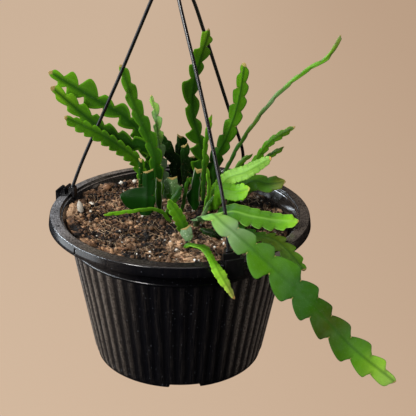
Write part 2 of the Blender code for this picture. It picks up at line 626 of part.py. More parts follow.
def clip_outlines():
    """Cross-sections of a rim clip as (radius, height), each with its half angle.

    The saddle lies on the rim, carries two upright plates and hooks under the band. The
    narrower leg runs up to the strand and down inside the rim.
    """
    inner = RIM_INNER_R - 2.6 - GAP - 0.2
    outer = BAND_R + GAP
    top = 0.8 + GAP
    deck = top + 1.6
    saddle = (
        (inner + 2.0, top), (outer, top), (outer, -BAND_HEIGHT - GAP),
        (outer - 2.2, -BAND_HEIGHT - GAP), (outer - 2.0, -BAND_HEIGHT - 1.9),
        (outer + 1.8, -BAND_HEIGHT - 1.9), (outer + 1.8, 5.5), (outer, 5.5), (outer - 0.3, deck),
        (inner + 9.0, deck), (inner + 8.6, 8.5), (inner + 6.8, 8.5), (inner + 6.4, deck), (inner + 2.0, deck),
    )
    leg = (
        (inner - 2.0, -1.6), (inner, -1.6), (inner, top), (inner + 4.2, top), (inner + 4.2, CLIP_RISE),
        (inner - 2.0, CLIP_RISE),
    )
    return ((saddle, CLIP_HALF_ANGLE), (leg, CLIP_LEG_HALF_ANGLE))


def sector(name, outline, middle, half_angle, steps, collection):
    """Link a solid that carries a closed (radius, height) outline round the pot's axis."""
    angles = np.radians(np.linspace(middle - half_angle, middle + half_angle, steps + 1))
    ring = np.array(outline, float)
    points = np.concatenate([
        np.stack([ring[:, 0] * math.cos(a), ring[:, 0] * math.sin(a), ring[:, 1]], axis=1) for a in angles])
    count = len(ring)
    faces = [tuple(range(count))]
    for step in range(steps):
        low, high = step * count, (step + 1) * count
        for i in range(count):
            j = (i + 1) % count
            faces.append((low + i, high + i, high + j, low + j))
    faces.append(tuple(steps * count + i for i in reversed(range(count))))
    mesh = bpy.data.meshes.new(name)
    mesh.from_pydata([tuple(p) for p in place(points)], [], faces)
    thing = bpy.data.objects.new(name, mesh)
    collection.objects.link(thing)
    return thing


def strand_points(name):
    """Middle line of a strand, from inside the hub's socket to inside its clip."""
    angle, waypoints = STRANDS[name]
    clip_r = RIM_INNER_R - 1.0
    foot = np.array((clip_r * math.cos(math.radians(angle)), clip_r * math.sin(math.radians(angle)),
                     CLIP_RISE - 3.0))
    hub = np.array((-POT_SHIFT, 0.0, RIM_DROP - HUB_DROP))
    outward = np.array(waypoints[0], float) - hub
    outward /= np.linalg.norm(outward)
    return [hub + outward * (HUB_R * 0.55), *np.array(waypoints, float), foot]


def build_strands(collection, material):
    """Make the three strands, each with the clip that holds the rim moulded on."""
    for name, (angle, _) in STRANDS.items():
        strand = add_tube(name, place(strand_points(name)), STRAND_R * MM, collection)
        for outline, half_angle in clip_outlines():
            boolean(strand, sector("clip", outline, angle, half_angle, 3, collection), "UNION")
        strand.name = name
        strand.data.materials.clear()
        strand.data.materials.append(material)
        strand.data.shade_smooth()
        strand.data.set_sharp_from_angle(angle=math.radians(35))


def build_hook(collection, cutters, material):
    """Make the hook with its hub and the three sockets that the strands plug into."""
    seat_drop = HOOK_WIRE_R
    middle_z = seat_drop - HOOK_R
    degrees = np.linspace(200, -90, 22)
    loop = [(HOOK_R * math.cos(math.radians(d)), 0.0, middle_z + HOOK_R * math.sin(math.radians(d)))
            for d in degrees]
    hub_top = -HUB_DROP + HUB_HEIGHT / 2
    points = np.array(loop + [(0.0, 0.0, hub_top - 4.0)]) * MM
    hook = add_tube("hanger_hook", points, HOOK_WIRE_R * MM, collection, sides_resolution=2)
    hub = cylinder("hub", (0, 0, (-HUB_DROP - HUB_HEIGHT / 2) * MM), (0, 0, 1), HUB_R * MM,
                   HUB_HEIGHT * MM, 16, collection)
    boolean(hook, hub, "UNION")
    for name in STRANDS:
        inner, outer = place(strand_points(name)[:2])
        direction = Vector(outer - inner).normalized()
        start = Vector(inner) - direction * (GAP * MM)
        socket = cylinder("socket", start, direction, (STRAND_R + 0.5) * MM, 20 * MM, 10, cutters)
        boolean(hook, hide_cutter(socket), "DIFFERENCE")
    hook.name = "hanger_hook"
    hook.data.materials.clear()
    hook.data.materials.append(material)
    hook.data.shade_smooth()
    hook.data.set_sharp_from_angle(angle=math.radians(35))


def main():
    """Build every piece in its place."""
    clear_scene()
    pieces = make_collection("fishbone_cactus_basket")
    cutters = make_collection("cutters")
    build_pot(pieces, cutters)
    build_soil(pieces, cutters)
    for stem in STEMS:
        build_stem(stem, pieces)
    plastic = make_material("hanger_plastic", (0.018, 0.018, 0.021), 0.32)
    build_strands(pieces, plastic)
    build_hook(pieces, cutters, plastic)


main()
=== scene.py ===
"""Looks of a fishbone cactus in a black plastic hanging pot.

Every piece is worked out again with numpy at a finer grain than the solids of the part,
and stands for the solid of the same name. Sizes are in millimetres up to the point where
a mesh is made; heights are measured from the top of the pot's rim, at its middle.
"""

import logging
import math
from collections.abc import Sequence
from dataclasses import dataclass, field, replace
from enum import Enum
from typing import Union

import bpy
import numpy as np
from mathutils import Matrix, Vector

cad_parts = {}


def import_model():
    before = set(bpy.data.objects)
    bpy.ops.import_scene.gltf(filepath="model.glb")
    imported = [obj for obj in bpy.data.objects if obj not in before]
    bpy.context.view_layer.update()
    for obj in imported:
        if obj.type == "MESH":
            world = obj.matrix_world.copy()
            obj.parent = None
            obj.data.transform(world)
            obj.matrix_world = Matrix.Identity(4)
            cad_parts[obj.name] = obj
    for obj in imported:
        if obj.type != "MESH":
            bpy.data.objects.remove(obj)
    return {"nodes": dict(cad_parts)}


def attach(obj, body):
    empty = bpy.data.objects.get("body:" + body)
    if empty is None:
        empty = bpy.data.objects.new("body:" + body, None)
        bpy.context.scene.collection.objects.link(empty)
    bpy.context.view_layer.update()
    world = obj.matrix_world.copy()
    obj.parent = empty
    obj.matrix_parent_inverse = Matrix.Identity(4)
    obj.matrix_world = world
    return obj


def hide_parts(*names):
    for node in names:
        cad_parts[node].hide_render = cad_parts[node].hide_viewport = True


Array = np.ndarray
Point = tuple[float, ...]
Socket = bpy.types.NodeSocket
Input = Union["Value", Socket, float, Sequence[float]]
Inputs = Sequence[Input] | dict[object, Input]
LOG = logging.getLogger("hanging_basket")

MM = 0.001
RIM_DROP = 290.0               # from the hook's seat down to the top of the rim
POT_SHIFT = 9.5                # the pot's axis lies to the right of the hook
HUB_DROP = 40.0
SOIL_Z = -10.0
SOIL_LEAN = 0.02               # the soil lies higher on the left
SOIL_BUMP = 2.0
STALK_DEPTH = 15.0
CAMERA_SIDE = (0.0, -0.92, 0.39)


# Shapes


def place(points: Array) -> Array:
    """Turn millimetres from the middle of the rim into metres from the hook's seat."""
    return (np.asarray(points, float) + (POT_SHIFT, 0.0, -RIM_DROP)) * MM


def ease(value: Array) -> Array:
    """Smooth step from 0 to 1: 3v^2 - 2v^3 of the value v held between 0 and 1."""
    v = np.clip(value, 0.0, 1.0)
    return v * v * (3 - 2 * v)


def unit(vectors: Array) -> Array:
    """Divide each vector, in the last axis, by its length."""
    return vectors / np.linalg.norm(vectors, axis=-1, keepdims=True)


def all_round(count: int) -> Array:
    """Angles spaced evenly round a full turn."""
    return np.arange(count) * math.tau / count


def polar(radius: Array, angle: Array) -> tuple[Array, Array]:
    """Return x and y at a radius and an angle."""
    return radius * np.cos(angle), radius * np.sin(angle)


def lattice_noise(x: Array, y: Array, cell: float, seed: int) -> Array:
    """Smooth random heights: random values on a square lattice, eased between its corners.

    Args:
        x: first coordinate of each point.
        y: second coordinate of each point.
        cell: distance between the corners of the lattice.
        seed: number that fixes the values.

    Returns:
        Heights from -1 to 1.
    """
    size = 64
    table = np.random.default_rng(seed).uniform(-1, 1, (size, size))
    u, v = x / cell, y / cell
    i, j = np.floor(u).astype(int), np.floor(v).astype(int)
    fu, fv = ease(u - i), ease(v - j)
    low, high = (
        table[i % size, k % size] * (1 - fu) + table[(i + 1) % size, k % size] * fu for k in (j, j + 1))
    return low * (1 - fv) + high * fv


def curve(knots: Array, before: Array, steps: int) -> Array:
    """Sample a Catmull-Rom curve.

    Args:
        knots: the points that it runs through.
        before: a point ahead of the first one, which sets how the curve starts.
        steps: samples from one knot to the next.

    Returns:
        Points along the curve, the last knot included.
    """
    ext = np.vstack([before, knots, 2 * knots[-1] - knots[-2]])
    t = np.linspace(0, 1, steps, endpoint=False)[None, :, None]
    a, b, c, d = (ext[i:len(ext) - 3 + i, None] for i in range(4))
    fine = 0.5 * (
        2 * b + (c - a) * t + (2 * a - 5 * b + 4 * c - d) * t ** 2 + (3 * b - a - 3 * c + d) * t ** 3)
    return np.vstack([fine.reshape(-1, 3), knots[-1:]])


def ring_faces(rows: int, columns: int) -> Array:
    """Span four-sided faces between the rings of a stack, the last column joined to the first.

    Args:
        rows: how many rings.
        columns: points in a ring.

    Returns:
        Four point numbers for each face.
    """
    j = np.arange(columns)
    k = (j + 1) % columns
    base = np.arange(rows - 1)[:, None] * columns
    return np.stack([base + j, base + k, base + k + columns, base + j + columns], axis=-1).reshape(-1, 4)


@dataclass
class Shell:
    """Points in millimetres with the four- and three-sided faces between them."""

    points: Array
    quads: Array
    tris: Array
    marks: dict[str, Array] = field(default_factory=dict)

    @classmethod
    def from_rings(cls, rings: Array, first: Array, last: Array) -> "Shell":
        """Close a stack of rings into a skin, with a fan of triangles at each end.

        Args:
            rings: rows by columns by 3, each ring counter-clockwise about the way up the stack.
            first: the point that closes the first ring.
            last: the point that closes the last ring.

        Returns:
            The closed skin, faces outward.
        """
        rows, columns = rings.shape[:2]
        j = np.arange(columns)
        k = (j + 1) % columns
        top = (rows - 1) * columns
        low, high = rows * columns, rows * columns + 1
        tris = np.concatenate([
            np.stack([np.full(columns, low), k, j], axis=1),
            np.stack([np.full(columns, high), top + j, top + k], axis=1)])
        return cls(
            np.concatenate([rings.reshape(-1, 3), [first], [last]]), ring_faces(rows, columns), tris)

    @classmethod
    def joined(cls, shells: Sequence["Shell"]) -> "Shell":
        """Lay several shells side by side in one.

        Args:
            shells: the shells; a mark is kept if the first one has it.

        Returns:
            One shell with all their points and faces.
        """
        starts = np.cumsum([0] + [len(s.points) for s in shells])
        return cls(
            np.concatenate([s.points for s in shells]),
            np.concatenate([s.quads + n for s, n in zip(shells, starts)]),
            np.concatenate([s.tris + n for s, n in zip(shells, starts)]),
            {key: np.concatenate([s.marks[key] for s in shells]) for key in shells[0].marks})

    def to_object(
            self, name: str, material: bpy.types.Material, sharp: float | None = None) -> bpy.types.Object:
        """Put the shell into a mesh object at the origin.

        Args:
            name: name of the object.
            material: its material.
            sharp: angle in degrees over which an edge stays sharp, or None for none.

        Returns:
            The linked object.
        """
        mesh = bpy.data.meshes.new(name)
        quads, tris = self.quads.astype(np.int32), self.tris.astype(np.int32)
        mesh.vertices.add(len(self.points))
        mesh.vertices.foreach_set("co", place(self.points).astype(np.float32).ravel())
        loops = np.concatenate([quads.ravel(), tris.ravel()])
        starts = np.concatenate([np.arange(len(quads)) * 4, quads.size + np.arange(len(tris)) * 3])
        mesh.loops.add(len(loops))
        mesh.loops.foreach_set("vertex_index", loops)
        mesh.polygons.add(len(starts))
        mesh.polygons.foreach_set("loop_start", starts.astype(np.int32))
        mesh.update(calc_edges=True)
        mesh.validate()
        for key, values in self.marks.items():
            write_mark(mesh, key, values)
        mesh.materials.append(material)
        mesh.shade_smooth()
        if sharp is not None:
            mesh.set_sharp_from_angle(angle=math.radians(sharp))
        thing = bpy.data.objects.new(name, mesh)
        bpy.context.scene.collection.objects.link(thing)
        return thing


def write_mark(mesh: bpy.types.Mesh, name: str, values: Array) -> None:
    """Store a value at each point of a mesh for its material to read.

    Args:
        mesh: the mesh.
        name: the mark's name.
        values: one, three or four numbers a point.
    """
    width = 1 if values.ndim == 1 else values.shape[1]
    kinds = {1: ("FLOAT", "value"), 3: ("FLOAT_VECTOR", "vector"), 4: ("FLOAT_COLOR", "color")}
    kind, where = kinds[width]
    mesh.attributes.new(name, kind, "POINT").data.foreach_set(where, values.astype(np.float32).ravel())


def sweep(path: Array, radii: Array, sides: int) -> Shell:
    """Carry a circle along a path that nowhere follows Y.

    A point is path + radius * (cos a * side + sin a * up), where side is the part of Y
    that is square to the path, and up = tangent x side.

    Args:
        path: points of the middle line.
        radii: radius at each of them.
        sides: points round the circle.

    Returns:
        A closed tube.
    """
    tangent = unit(np.gradient(path, axis=0))
    across = np.array((0.0, 1.0, 0.0))
    side = unit(across - (tangent @ across)[:, None] * tangent)
    up = np.cross(tangent, side)
    a = all_round(sides)
    rings = path[:, None] + radii[:, None, None] * (
        np.cos(a)[:, None] * side[:, None] + np.sin(a)[:, None] * up[:, None])
    return Shell.from_rings(rings, path[0], path[-1])


def turned(profile: Sequence[Point], sides: int, middle: Point) -> Shell:
    """Turn a profile of (radius, height) round an upright axis.

    Args:
        profile: the rings, so that the outside lies to the right of the way along them.
        sides: points in a ring.
        middle: x and y of the axis.

    Returns:
        A closed skin.
    """
    ring = np.array(profile, float)
    x, y = polar(ring[:, :1], all_round(sides))
    rings = np.stack([middle[0] + x, middle[1] + y, np.repeat(ring[:, 1:], sides, axis=1)], axis=-1)
    return Shell.from_rings(rings, (*middle, ring[0, 1]), (*middle, ring[-1, 1]))


def sector(outline: Sequence[Point], middle: float, half_angle: float, steps: int) -> Shell:
    """Carry a closed (radius, height) outline round the pot's axis through a few degrees.

    Args:
        outline: corners of the section, clockwise when up is up and outward is right.
        middle: angle of the sector's middle, in degrees.
        half_angle: how far it reaches each way.
        steps: parts it is cut into.

    Returns:
        A solid whose two ends are triangle fans from its own middle.
    """
    angles = np.radians(np.linspace(middle - half_angle, middle + half_angle, steps + 1))
    ring = np.array(outline, float)
    x, y = polar(ring[:, 0], angles[:, None])
    rings = np.stack([x, y, np.repeat(ring[None, :, 1], steps + 1, axis=0)], axis=-1)
    return Shell.from_rings(rings, rings[0].mean(axis=0), rings[-1].mean(axis=0))


def mount(piece: bpy.types.Object, slot: str, *nodes: str) -> None:
    """Fasten a piece to the part and let it stand for solids.

    Args:
        piece: the piece.
        slot: the record's material slot; not used.
        nodes: the solids that it replaces.
    """
    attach(piece, "root")
    if nodes:
        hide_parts(*nodes)
    stands_for = ", ".join(nodes) or "no solid"
    LOG.info("%s: %d faces, stands for %s", piece.name, len(piece.data.polygons), stands_for)


# Shader nodes


class Kind(Enum):
    """What a socket carries: its type in a group, and the output that reads it from a mesh."""

    COLOUR = ("NodeSocketColor", "Color")
    NUMBER = ("NodeSocketFloat", "Fac")
    VECTOR = ("NodeSocketVector", "Vector")


class Value:
    """A number, vector or colour in a node tree, with sums written as in Python."""

    def __init__(self, w: "Wiring", socket: Socket) -> None:
        """Hold a socket of one tree."""
        self.w, self.socket = w, socket

    def __add__(self, other: Input) -> "Value":
        """Return self + other."""
        return self.w.math("ADD", self, other)

    def __sub__(self, other: Input) -> "Value":
        """Return self - other."""
        return self.w.math("SUBTRACT", self, other)

    def __rsub__(self, other: Input) -> "Value":
        """Return other - self."""
        return self.w.math("SUBTRACT", other, self)

    def __mul__(self, other: Input) -> "Value":
        """Return self * other."""
        return self.w.math("MULTIPLY", self, other)

    def __truediv__(self, other: Input) -> "Value":
        """Return self / other."""
        return self.w.math("DIVIDE", self, other)

    def __abs__(self) -> "Value":
        """Return self without its sign."""
        return self.w.math("ABSOLUTE", self)

    def held(self) -> "Value":
        """Keep the result of a sum between 0 and 1."""
        self.socket.node.use_clamp = True
        return self

    def span(self, low: float, high: float, to_low: float = 0.0, to_high: float = 1.0) -> "Value":
        """Ease from one range to another.

        Args:
            low: where it starts.
            high: where it ends.
            to_low: result at low.
            to_high: result at high.

        Returns:
            The eased value.
        """
        values = (self, low, high, to_low, to_high)
        node = self.w.node("MapRange", values, interpolation_type="SMOOTHSTEP")
        return Value(self.w, node.outputs[0])

    def scaled(self, *factors: float) -> "Value":
        """Multiply the three parts of a vector by three factors."""
        return Value(self.w, self.w.node("VectorMath", (self, factors), operation="MULTIPLY").outputs[0])

    def parts(self) -> list["Value"]:
        """Return the three parts of a vector."""
        return [Value(self.w, socket) for socket in self.w.node("SeparateXYZ", (self,)).outputs]

    def noise(self, scale: float, detail: float = 3.0, rough: float = 0.55) -> "Value":
        """Read a noise texture at this place.

        Args:
            scale: its scale.
            detail: its detail.
            rough: its roughness.

        Returns:
            Values from 0 to 1.
        """
        values = {"Vector": self, "Scale": scale, "Detail": detail, "Roughness": rough}
        return Value(self.w, self.w.node("TexNoise", values).outputs[0])

    def cells(self, scale: float) -> tuple["Value", "Value"]:
        """Return the distance from the middle of the cell round this place, and its random number."""
        found = self.w.node("TexVoronoi", {"Vector": self, "Scale": scale}).outputs
        return Value(self.w, found["Distance"]), Value(self.w, found["Color"]).parts()[0]

    def mixed(self, share: Input, other: Input) -> "Value":
        """Mix a colour with a share of another."""
        return self.w.mix(share, self, other)

    def times(self, *factors: float) -> "Value":
        """Multiply red, green and blue by three factors."""
        return self.w.mix(1.0, self, (*factors, 1.0), "MULTIPLY")


class Wiring:
    """Adds shader nodes to one node tree and links them."""

    def __init__(self, tree: bpy.types.NodeTree) -> None:
        """Work on the tree of a material or of a group."""
        self.tree = tree

    def node(self, kind: str, values: Inputs = (), **settings: object) -> bpy.types.Node:
        """Add a node.

        Args:
            kind: its type, without ShaderNode in front.
            values: what is fed to its inputs, in their order or by name or number.
            settings: its properties.

        Returns:
            The node.
        """
        node = self.tree.nodes.new(kind if kind.startswith("Node") else "ShaderNode" + kind)
        for key, value in settings.items():
            setattr(node, key, value)
        self.feed(node, values)
        return node

    def feed(self, node: bpy.types.Node, values: Inputs) -> None:
        """Link values to a node's inputs, or set them there if they are plain.

        Args:
            node: the node.
            values: the values, in the order of its inputs or by name or number.
        """
        for key, value in values.items() if isinstance(values, dict) else enumerate(values):
            value = value.socket if isinstance(value, Value) else value
            if isinstance(value, Socket):
                self.tree.links.new(value, node.inputs[key])
            else:
                node.inputs[key].default_value = value

    def math(self, operation: str, *values: Input) -> Value:
        """Add a Math node.

        Args:
            operation: what it does.
            values: what it works on.

        Returns:
            The result.
        """
        return Value(self, self.node("Math", values, operation=operation).outputs[0])

    def mix(self, share: Input, first: Input, second: Input, blend: str = "MIX") -> Value:
        """Mix two colours.

        Args:
            share: share of the second.
            first: the first colour.
            second: the second colour.
            blend: how they are mixed.

        Returns:
            The mixed colour.
        """
        values = {0: share, 6: first, 7: second}
        return Value(self, self.node("Mix", values, data_type="RGBA", blend_type=blend).outputs[2])

    def spot(self) -> Value:
        """Return the place on the object."""
        return Value(self, self.node("TexCoord").outputs["Object"])

    def mark(self, name: str, kind: Kind) -> Value:
        """Read a mark of the mesh."""
        return Value(self, self.node("Attribute", attribute_name=name).outputs[kind.value[1]])


def linear(colour: Union["Hue", Sequence[float]]) -> tuple[float, ...]:
    """Turn a screen colour of 0 to 255 into a linear one.

    Args:
        colour: a hue, or red, green and blue.

    Returns:
        Linear red, green and blue with an alpha of 1.
    """
    c = np.asarray(getattr(colour, "value", colour), float) / 255
    r, g, b = np.where(c <= 0.04045, c / 12.92, ((c + 0.055) / 1.055) ** 2.4)
    return float(r), float(g), float(b), 1.0


def new_material(name: str) -> tuple[bpy.types.Material, Wiring, bpy.types.Node]:
    """Make a material.

    Args:
        name: its name.

    Returns:
        The material, the wiring of its tree and its shader.
    """
    material = bpy.data.materials.new(name)
    material.use_nodes = True
    return material, Wiring(material.node_tree), material.node_tree.nodes["Principled BSDF"]


class SkinGroup:
    """A shared node group that puts out Color, Roughness and Height.

    Its inputs are marks of the mesh, then colours and numbers of a finish, each under its
    own name.
    """

    name = "skin"
    marks: dict[str, Kind] = {}
    colours: tuple[str, ...] = ()
    numbers: tuple[str, ...] = ()
    depth = 0.001                      # how deep a height of 1 is, in metres
    specular = 0.5

    def __init__(self) -> None:
        """Make the group once, with its sockets, and wire it."""
        self.tree = bpy.data.node_groups.new(self.name, "ShaderNodeTree")
        inputs = self.marks | dict.fromkeys(self.colours, Kind.COLOUR)
        inputs |= dict.fromkeys(self.numbers, Kind.NUMBER)
        results = {"Color": Kind.COLOUR, "Roughness": Kind.NUMBER, "Height": Kind.NUMBER}
        for way, sockets in (("INPUT", inputs), ("OUTPUT", results)):
            for key, kind in sockets.items():
                self.tree.interface.new_socket(name=key, in_out=way, socket_type=kind.value[0])
        w = Wiring(self.tree)
        found = w.node("NodeGroupInput").outputs
        w.node("NodeGroupOutput", self.wire(w, {key: Value(w, found[key]) for key in inputs}))

    def wire(self, w: Wiring, given: dict[str, Value]) -> dict[str, Value]:
        """Wire the group.

        Args:
            w: the wiring of the group's tree.
            given: its inputs by name.

        Returns:
            Its outputs by name.
        """
        raise NotImplementedError

    def material(self, name: str, finish: "Finish") -> bpy.types.Material:
        """Make a material from the group and a finish.

        Args:
            name: its name.
            finish: its colours and numbers.

        Returns:
            The material.
        """
        material, w, shader = new_material(name)
        values = {key: w.mark(key, kind) for key, kind in self.marks.items()}
        values |= {key: linear(getattr(finish, key)) for key in self.colours}
        values |= {key: getattr(finish, key) for key in self.numbers}
        skin = w.node("Group", values, node_tree=self.tree).outputs
        relief = w.node("Bump", {"Strength": finish.relief, "Distance": self.depth, "Height": skin["Height"]})
        w.feed(shader, {"Base Color": skin["Color"], "Roughness": skin["Roughness"],
                        "Normal": relief.outputs["Normal"], "Specular IOR Level": self.specular})
        return material


# Finishes


class Hue(Enum):
    """Plain colours that the plant and its soil are made of, as they show in soft light."""

    INK = (11, 27, 4)
    PINE = (11, 46, 4)
    FOREST = (22, 58, 6)
    MOSS = (42, 84, 8)
    LEAF = (62, 108, 10)
    GRASS = (88, 144, 14)
    SPRING = (118, 168, 30)
    LIME = (142, 194, 54)
    PALE = (154, 198, 84)
    LEAFY = (112, 156, 60)
    SAGE = (98, 124, 80)
    DEW = (116, 158, 104)
    MIST = (150, 182, 164)
    CREAM = (200, 208, 180)
    OLIVE = (62, 82, 14)
    BRONZE = (108, 110, 40)
    BARK = (84, 60, 30)
    STRAW = (172, 154, 92)
    RUST = (150, 92, 40)


def hues(names: str) -> tuple[Hue, ...]:
    """Look up hues by their names, parted by spaces."""
    return tuple(Hue[name] for name in names.split())


@dataclass(frozen=True)
class LeafFinish:
    """How one stem is coloured."""

    shades: tuple[Hue, ...]            # evenly spaced from root to tip
    rib: Hue = Hue.FOREST
    rib_share: float = 0.6             # how strongly the midrib's colour shows
    rib_width: float = 1.6
    edge: Hue = Hue.SPRING
    edge_share: float = 0.35
    edge_width: float = 0.9
    mottle: float = 0.35
    streak: float = 0.35
    flecks: float = 0.05
    bloom: float = 0.006               # pale waxy bloom
    dry: float = 1.5                   # length of the dried tip
    scar: Hue = Hue.BARK
    roughness: float = 0.42
    relief: float = 0.45


class LeafSkin(SkinGroup):
    """Skin of a stem: shade along it, midrib, margin, streaks, flecks, bloom and dried tip."""

    name = "leaf_skin"
    marks = {"shade": Kind.COLOUR, "leaf": Kind.VECTOR, "lobe": Kind.VECTOR}
    colours = ("rib", "edge", "scar")
    numbers = ("rib_share", "rib_width", "edge_share", "edge_width", "mottle", "streak", "flecks", "bloom",
               "dry", "roughness")
    depth = 0.0006
    specular = 0.09

    def wire(self, w: Wiring, given: dict[str, Value]) -> dict[str, Value]:
        """Wire the group; see SkinGroup.wire.

        Args:
            w: the wiring of the group's tree.
            given: its inputs by name.

        Returns:
            Its outputs by name.
        """
        cross, edge, _ = given["leaf"].parts()
        notch, from_tip, _ = given["lobe"].parts()
        spot = w.spot()
        blotch, fine = spot.noise(90, 4), spot.noise(900, 2, 0.7)
        lengthwise = given["leaf"].scaled(1.5, 0.0, 0.12).noise(1.0, 3)
        rib = (1.0 - abs(cross) / given["rib_width"]).held()
        margin = (1.0 - edge / given["edge_width"]).held()
        colour = given["shade"]
        colour = colour.mixed(blotch.span(0.35, 0.7) * given["mottle"], colour.times(0.62, 0.7, 0.6))
        colour = colour.mixed(lengthwise.span(0.42, 0.62) * given["streak"], colour.times(1.5, 1.35, 1.1))
        colour = colour.mixed(w.math("SMOOTH_MIN", rib, 1.0, 0.3) * given["rib_share"], given["rib"])
        colour = colour.mixed(margin * given["edge_share"], given["edge"])
        dots, chance = spot.cells(620)
        fleck = dots.span(0.32, 0.12) * chance.span(0.55, 0.6)
        colour = colour.mixed(fleck * given["flecks"], linear(Hue.CREAM))
        film = spot.noise(55, 5, 0.6).span(0.3, 0.75) * given["bloom"]
        colour = colour.mixed(film, linear(Hue.MIST))

        # Painted shade towards each notch, the areole in it, then the dried tip or the callus of a cut.
        notch_shade = notch.span(0.2, 0.9) * edge.span(6.0, 0.5)
        colour = colour.mixed(notch_shade * 0.55, colour.times(0.45, 0.5, 0.4))
        pit = notch.span(0.82, 0.97) * edge.span(2.4, 0.4)
        colour = colour.mixed(pit * 0.75, given["scar"])
        ragged = from_tip + (fine - 0.5) * 3.0
        dried = (ragged / given["dry"]).span(1.0, 0.55)
        colour = colour.mixed(dried, given["scar"].mixed(fine, linear(Hue.STRAW)))

        rough = (given["roughness"] + film * 0.25 + (blotch - 0.5) * 0.2).held()
        rough = (rough + dried * 0.25).held()
        height = lengthwise * 0.6 + fine * 0.25 + spot.noise(260, 2) * 0.6
        return {"Color": colour, "Roughness": rough, "Height": height}


@dataclass(frozen=True)
class PlasticFinish:
    """How a black plastic piece is coloured and dusted, and where painted sheen lies on it."""

    plastic: tuple[int, int, int] = (7, 7, 10)
    dust_and_sheen: tuple[int, int, int] = (140, 126, 114)
    top_dust: float = 0.5              # on faces that look up
    side_dust: float = 0.12            # on upright faces
    flank_sheen: float = 0.0            # painted sheen of reflected light on the ridges at the far left and far right
    flecks: float = 0.6
    roughness: float = 0.17
    relief: float = 0.3


class PlasticSkin(SkinGroup):
    """Black moulded plastic with dusty ledges, dried specks and fine scratches, and painted highlights and
    sheen on its ridges and flanks.
    """

    name = "plastic_skin"
    marks = {"rib": Kind.VECTOR}
    colours = ("plastic", "dust_and_sheen")
    numbers = ("top_dust", "side_dust", "flank_sheen", "flecks", "roughness")
    depth = 0.0002
    left_sheen = (0.21, 0.215, 0.235, 1.0)      # painted bluish sheen on the dusty parts at the far left
    dried = (0.17, 0.18, 0.21, 1.0)            # dried drops

    def wire(self, w: Wiring, given: dict[str, Value]) -> dict[str, Value]:
        """Wire the group; see SkinGroup.wire.

        Args:
            w: the wiring of the group's tree.
            given: its inputs by name.

        Returns:
            Its outputs by name.
        """
        spot = w.spot()
        across, back, _ = spot.parts()
        up = Value(w, w.node("NewGeometry").outputs["Normal"]).parts()[2]
        crest, _, radius = given["rib"].parts()
        cloud, grain = spot.noise(45, 6, 0.65), spot.noise(1400, 2, 0.6)
        runs = given["rib"].scaled(0.0, 0.55, 0.035).noise(1.0, 4, 0.6)
        streaks = given["rib"].scaled(0.0, 0.28, 0.8).noise(1.0, 5, 0.7)

        # Dust on the ledges, in streaks and clouds, less in front; thinning out to the right, it paints the
        # right of the rim's top in shade.
        ledge = up.span(0.8, 0.97) * given["top_dust"] * streaks.span(0.38, 0.64, 0.25, 1.15)
        ledge = ledge * cloud.span(0.25, 0.75, 0.5, 1.2) * across.span(0.06, -0.07, 0.42, 1.0)
        ledge = ledge * back.span(-0.115, -0.04, 0.2, 1.0)
        # Dust on the ridges of the wall, running down, strongest on each ridge as a painted highlight, and on
        # both flanks a painted sheen of reflected light in the colour of the dust.
        side = runs.span(0.35, 0.75) * given["side_dust"]
        flank = (across.span(-0.02, -0.075) + across.span(0.045, 0.095, 0.0, 1.1)) * given["flank_sheen"]
        flank = flank * runs.span(0.2, 0.7, 0.5, 1.0)
        ridge = crest.span(-0.6, 0.95, 0.14, 0.9) * (side + flank)
        ridge = ridge * spot.noise(700, 3, 0.7).span(0.38, 0.6, 0.35, 1.25)
        # The mask adds real dust to painted highlights and sheen.
        dust_and_sheen = (ledge + ridge).held()
        # At the far left the dusty colour turns bluish grey: a painted sheen.
        thin = given["dust_and_sheen"].mixed(across.span(-0.07, -0.115, 0.0, 0.8), self.left_sheen)
        colour = given["plastic"].mixed(dust_and_sheen, thin)

        dots, chance = spot.cells(480)
        speck = w.math("LESS_THAN", dots, chance * 0.18) * chance.span(0.82, 0.9)
        speck = speck * (cloud.span(0.42, 0.6, 0.15, 1.0) * given["flecks"])
        colour = colour.mixed(speck, self.dried)
        # The wall just inside the rim is glossier. Further down the mark holds heights, which are under 90.
        inside = radius.span(116.5, 114.5) * w.math("GREATER_THAN", radius, 90.0)
        rough = (given["roughness"] + dust_and_sheen * 0.45 + (cloud - 0.5) * 0.25).held()
        rough = (rough + inside * -0.09).held()
        height = grain * 0.1 + speck * 0.8 + spot.noise(120, 2) * 0.7
        return {"Color": colour, "Roughness": rough, "Height": height}


@dataclass(frozen=True)
class EarthFinish:
    """How soil, bark, fibres or white grains are coloured."""

    dark: tuple[int, int, int]
    mid: tuple[int, int, int]
    light: tuple[int, int, int]
    relief: float = 0.8
    roughness: float = 0.9


Finish = LeafFinish | PlasticFinish | EarthFinish


class EarthSkin(SkinGroup):
    """Crumbly brown matter: three shades spread by each grain's number and by noise, redder at the left."""

    name = "earth_skin"
    marks = {"tint": Kind.NUMBER}
    colours = ("dark", "mid", "light")
    numbers = ("roughness",)
    depth = 0.0008
    specular = 0.25

    def wire(self, w: Wiring, given: dict[str, Value]) -> dict[str, Value]:
        """Wire the group; see SkinGroup.wire.

        Args:
            w: the wiring of the group's tree.
            given: its inputs by name.

        Returns:
            Its outputs by name.
        """
        spot = w.spot()
        coarse, fine = spot.noise(160, 4, 0.7), spot.noise(1100, 3, 0.7)
        level = given["tint"] + (coarse - 0.5) * 0.9 + (fine - 0.5) * 0.7
        colour = given["dark"].mixed(level.span(0.1, 0.5), given["mid"])
        colour = colour.mixed(level.span(0.55, 1.0), given["light"])
        russet = spot.parts()[0].span(0.0, -0.07) * spot.noise(24, 2).span(0.35, 0.6, 0.2, 0.75)
        colour = colour.mixed(russet, colour.times(0.98, 0.82, 0.66))
        rough = (given["roughness"] + (fine - 0.5) * 0.2).held()
        return {"Color": colour, "Roughness": rough, "Height": fine + coarse}


# Plant


